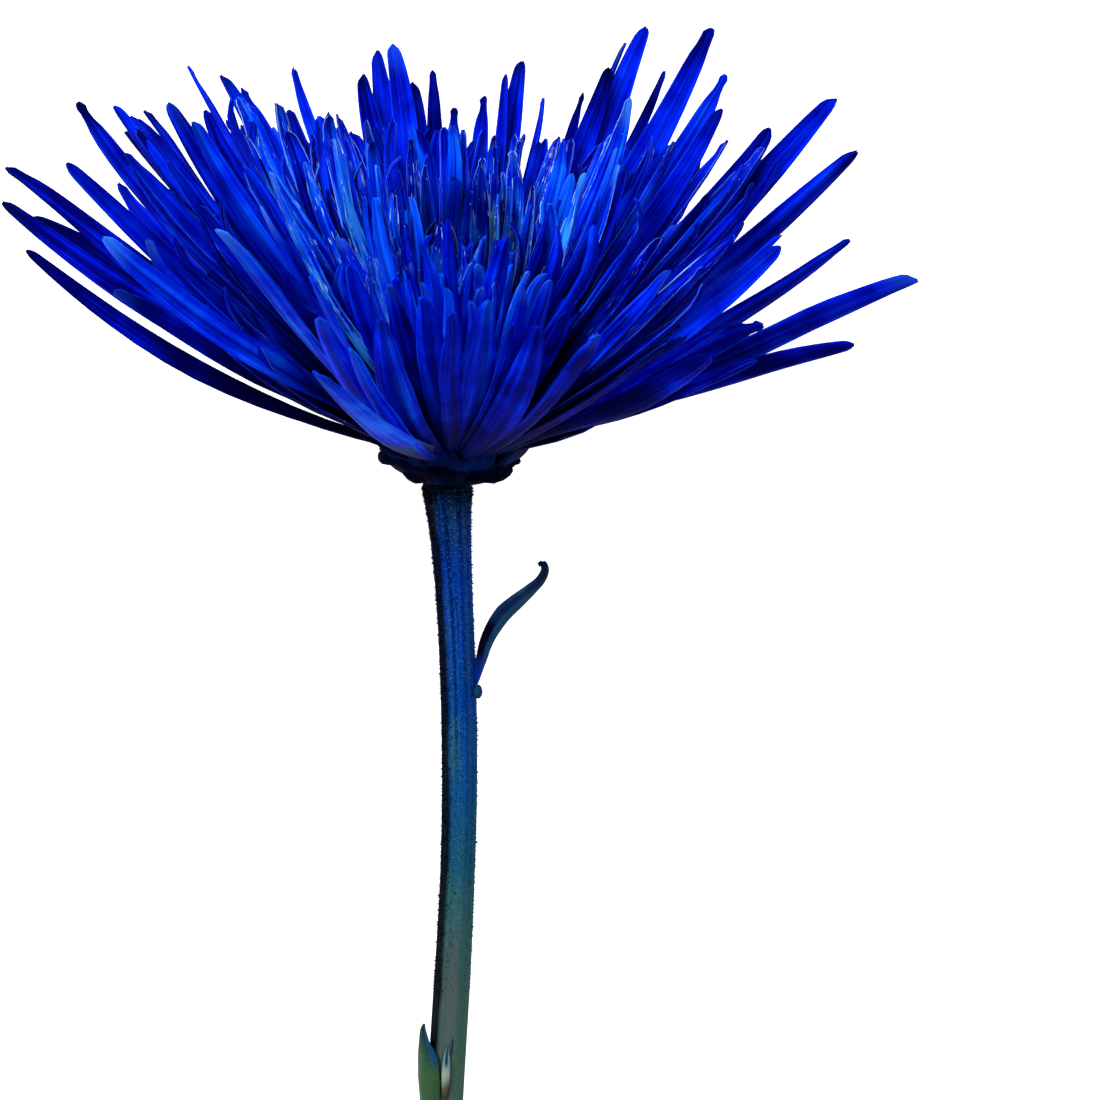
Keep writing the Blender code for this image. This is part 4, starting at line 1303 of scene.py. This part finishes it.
def makeSideBud(material):
    template = evenTube("sideBudTemplate", sideBud)
    x, y, u = pointsOf(template).T
    below = sideBud["foot"] + (sideBud["tip"] - sideBud["foot"]) * u
    outline = np.maximum(0.06, 0.45 + 2.1 * u - 1.9 * u * u - 0.5 * u**4)
    bearing = sideBud["bearing"]
    side = np.array((-math.sin(bearing), math.cos(bearing), 0))
    above = 0.1 + sideBud["thickness"] / 2 * outline * (1 + y)
    points = stemSurface(below, bearing, above)
    points += side * (x * sideBud["width"] / 2 * outline)[:, None]
    shape = bmesh.new()
    addCopy(shape, template, points, (0.5, 0, 0, 0))
    finishPiece(shape, "sideBudScales", material, "side_bud")


leafFinish = {
    "roughness": 0.55,
    "specular": 0.03,
    # the upper leaf
    "dark": (
        (0.35, (0.001, 0.003, 0.02)),
        (0.55, (0.002, 0.018, 0.085)),
        (0.8, (0.02, 0.07, 0.13)),
    ),
    "lit": (0.004, 0.06, 0.17),
    # painted shade where the leaf turns over near its foot
    "fold": (0.0, 0.0005, 0.006),
    "tip": (0.0, 0.002, 0.02),
    "foot": (0.0, 0.03, 0.32),
    # the scale leaf, from its foot to its tip
    "pale": (
        (0.0, (0.04, 0.10, 0.06)),
        (0.35, (0.02, 0.07, 0.045)),
        (0.55, (0.03, 0.085, 0.03)),
        (0.7, (0.014, 0.06, 0.045)),
        (0.88, (0.006, 0.03, 0.03)),
        (1.0, (0.004, 0.002, 0.002)),
    ),
    "mottle": (0.05, 0.10, 0.03),
    "inside": (0.006, 0.05, 0.15),
}


def makeLeafMaterial():
    # the dye value tells the dark upper leaf from the paler scale leaf
    finish = leafFinish
    paint = Paint("leafSkin", finish)
    tone = paint.dye()[0]
    place = paint.place()
    across, along = readStrap(paint.tree)
    across = across.math("PINGPONG", 1.0)
    broad, fine, height = paint.fibres(8.0, 2.0, tone)
    cloud = place.noise(300.0, 3.0)
    dark = (broad * 0.6 + cloud * 0.5).ramp(finish["dark"]).under(finish, {
        "lit": across.span(0.4, 0.7) * along.span(0.75, 0.35) * 0.7,
        # painted shade where the leaf turns over
        "fold": across.span(0.46, 0.40) * along.span(0.36, 0.3),
        "tip": along.span(0.5, 0.8, 0.0, 0.6),
        "foot": along.span(0.02, 0.16, 0.8, 0.0),
    })
    mottle = (place.noise(2400.0, 3.0) + cloud).span(0.85, 1.35)
    pale = (along + (cloud - 0.5) * 0.2).ramp(finish["pale"]).under(finish, {
        "mottle": mottle * along.span(0.9, 0.7, 0.0, 0.7),
        "inside": across.span(0.8, 0.92) * along.span(0.6, 0.75) * 0.8,
    })
    return paint.finish(tone.span(0.5, 0.7).blend(dark, pale), height, 0.7, 0.0004)


def makeBudMaterial():
    paint = Paint("budScales", sideBud)
    across, along = readStrap(paint.tree)
    broad, fine, height = paint.fibres(10.0, 2.0, 0.2)
    colour = (along + (broad - 0.5) * 0.35).ramp(sideBud["along"])
    rim = abs(across.math("FRACT") * 2.0 - 1.0)
    heart = rim.span(0.55, 0.3) * along.span(0.55, 0.72)
    return paint.finish(heart.blend(colour, sideBud["heart"]), height, 0.7, 0.0003)


makeCore(petalMaterial)
makeCalyx(makeCalyxMaterial())
stemMaterial = makeStemMaterial()
makeStem(stemMaterial)
makeStemHairs(stemMaterial)
leafMaterial = makeLeafMaterial()
makeUpperLeaf(leafMaterial)
makeScaleLeaf(leafMaterial)
makeSideBud(makeBudMaterial())


# Room: a pale floor, soft studio light and the photograph's camera

floorFinish = {
    "colour": (0.5, 0.5, 0.5),
    "glow": 0.95,
    "roughness": 0.9,
    "specular": 0.1,
}
room = {
    "floorSize": 3.0,
    "clip": (0.01, 10),
    "lightAim": (0, 0, 20),
    "skyStrength": 0.3,
}


def lookFrom(direction, distance, aim):
    # a matrix at that distance from the aim, looking back at it, all in the flower's directions
    turn = Matrix.Rotation(tilt - math.pi / 2, 3, "X")
    away = (turn @ Vector(direction)).normalized()
    right = (turn @ stemAxis).cross(away).normalized()
    matrix = Matrix((right, away.cross(right), away)).transposed().to_4x4()
    matrix.translation = layDown @ Vector(aim) + away * distance
    return matrix


def makeRoom():
    shape = bmesh.new()
    bmesh.ops.create_grid(shape, x_segments=1, y_segments=1, size=room["floorSize"] / 2)
    mesh = bpy.data.meshes.new("floor")
    shape.to_mesh(mesh)
    shape.free()
    floor = addObject("floor", mesh)
    paint = Paint("paleFloor", floorFinish)
    glow = {"Emission Color": (1, 1, 1), "Emission Strength": floorFinish["glow"]}
    feed(paint.shader, {"Base Color": floorFinish["colour"], **glow})
    mesh.materials.append(paint.material)

    camera = addObject("camera", bpy.data.cameras.new("camera"))
    direction = (0, -math.cos(view["rise"]), math.sin(view["rise"]))
    camera.matrix_world = lookFrom(direction, view["distance"] / 1000, view["aim"])
    camera.data.lens = view["lens"]
    camera.data.clip_start, camera.data.clip_end = room["clip"]
    bpy.context.scene.camera = camera


lights = {
    # direction in the flower's frame, distance, size, power
    "key": ((-0.6, -0.85, 0.8), 0.9, 0.3, 10.0),
    "fill": ((0.7, -1.0, 0.1), 1.0, 0.6, 2.0),
    "top": ((0.0, -0.3, 1.0), 1.0, 0.4, 6.0),
}


def makeLights():
    for name, (direction, distance, size, power) in lights.items():
        light = addObject(name, bpy.data.lights.new(name, "AREA"))
        light.data.size = size
        light.data.energy = power
        light.matrix_world = lookFrom(direction, distance, room["lightAim"])
    world = bpy.data.worlds.new("studio")
    bpy.context.scene.world = world
    world.use_nodes = True
    sky = {"Color": (1, 1, 1), "Strength": room["skyStrength"]}
    feed(world.node_tree.nodes["Background"], sky)
    bpy.context.scene.view_settings.view_transform = "Standard"


makeRoom()
makeLights()
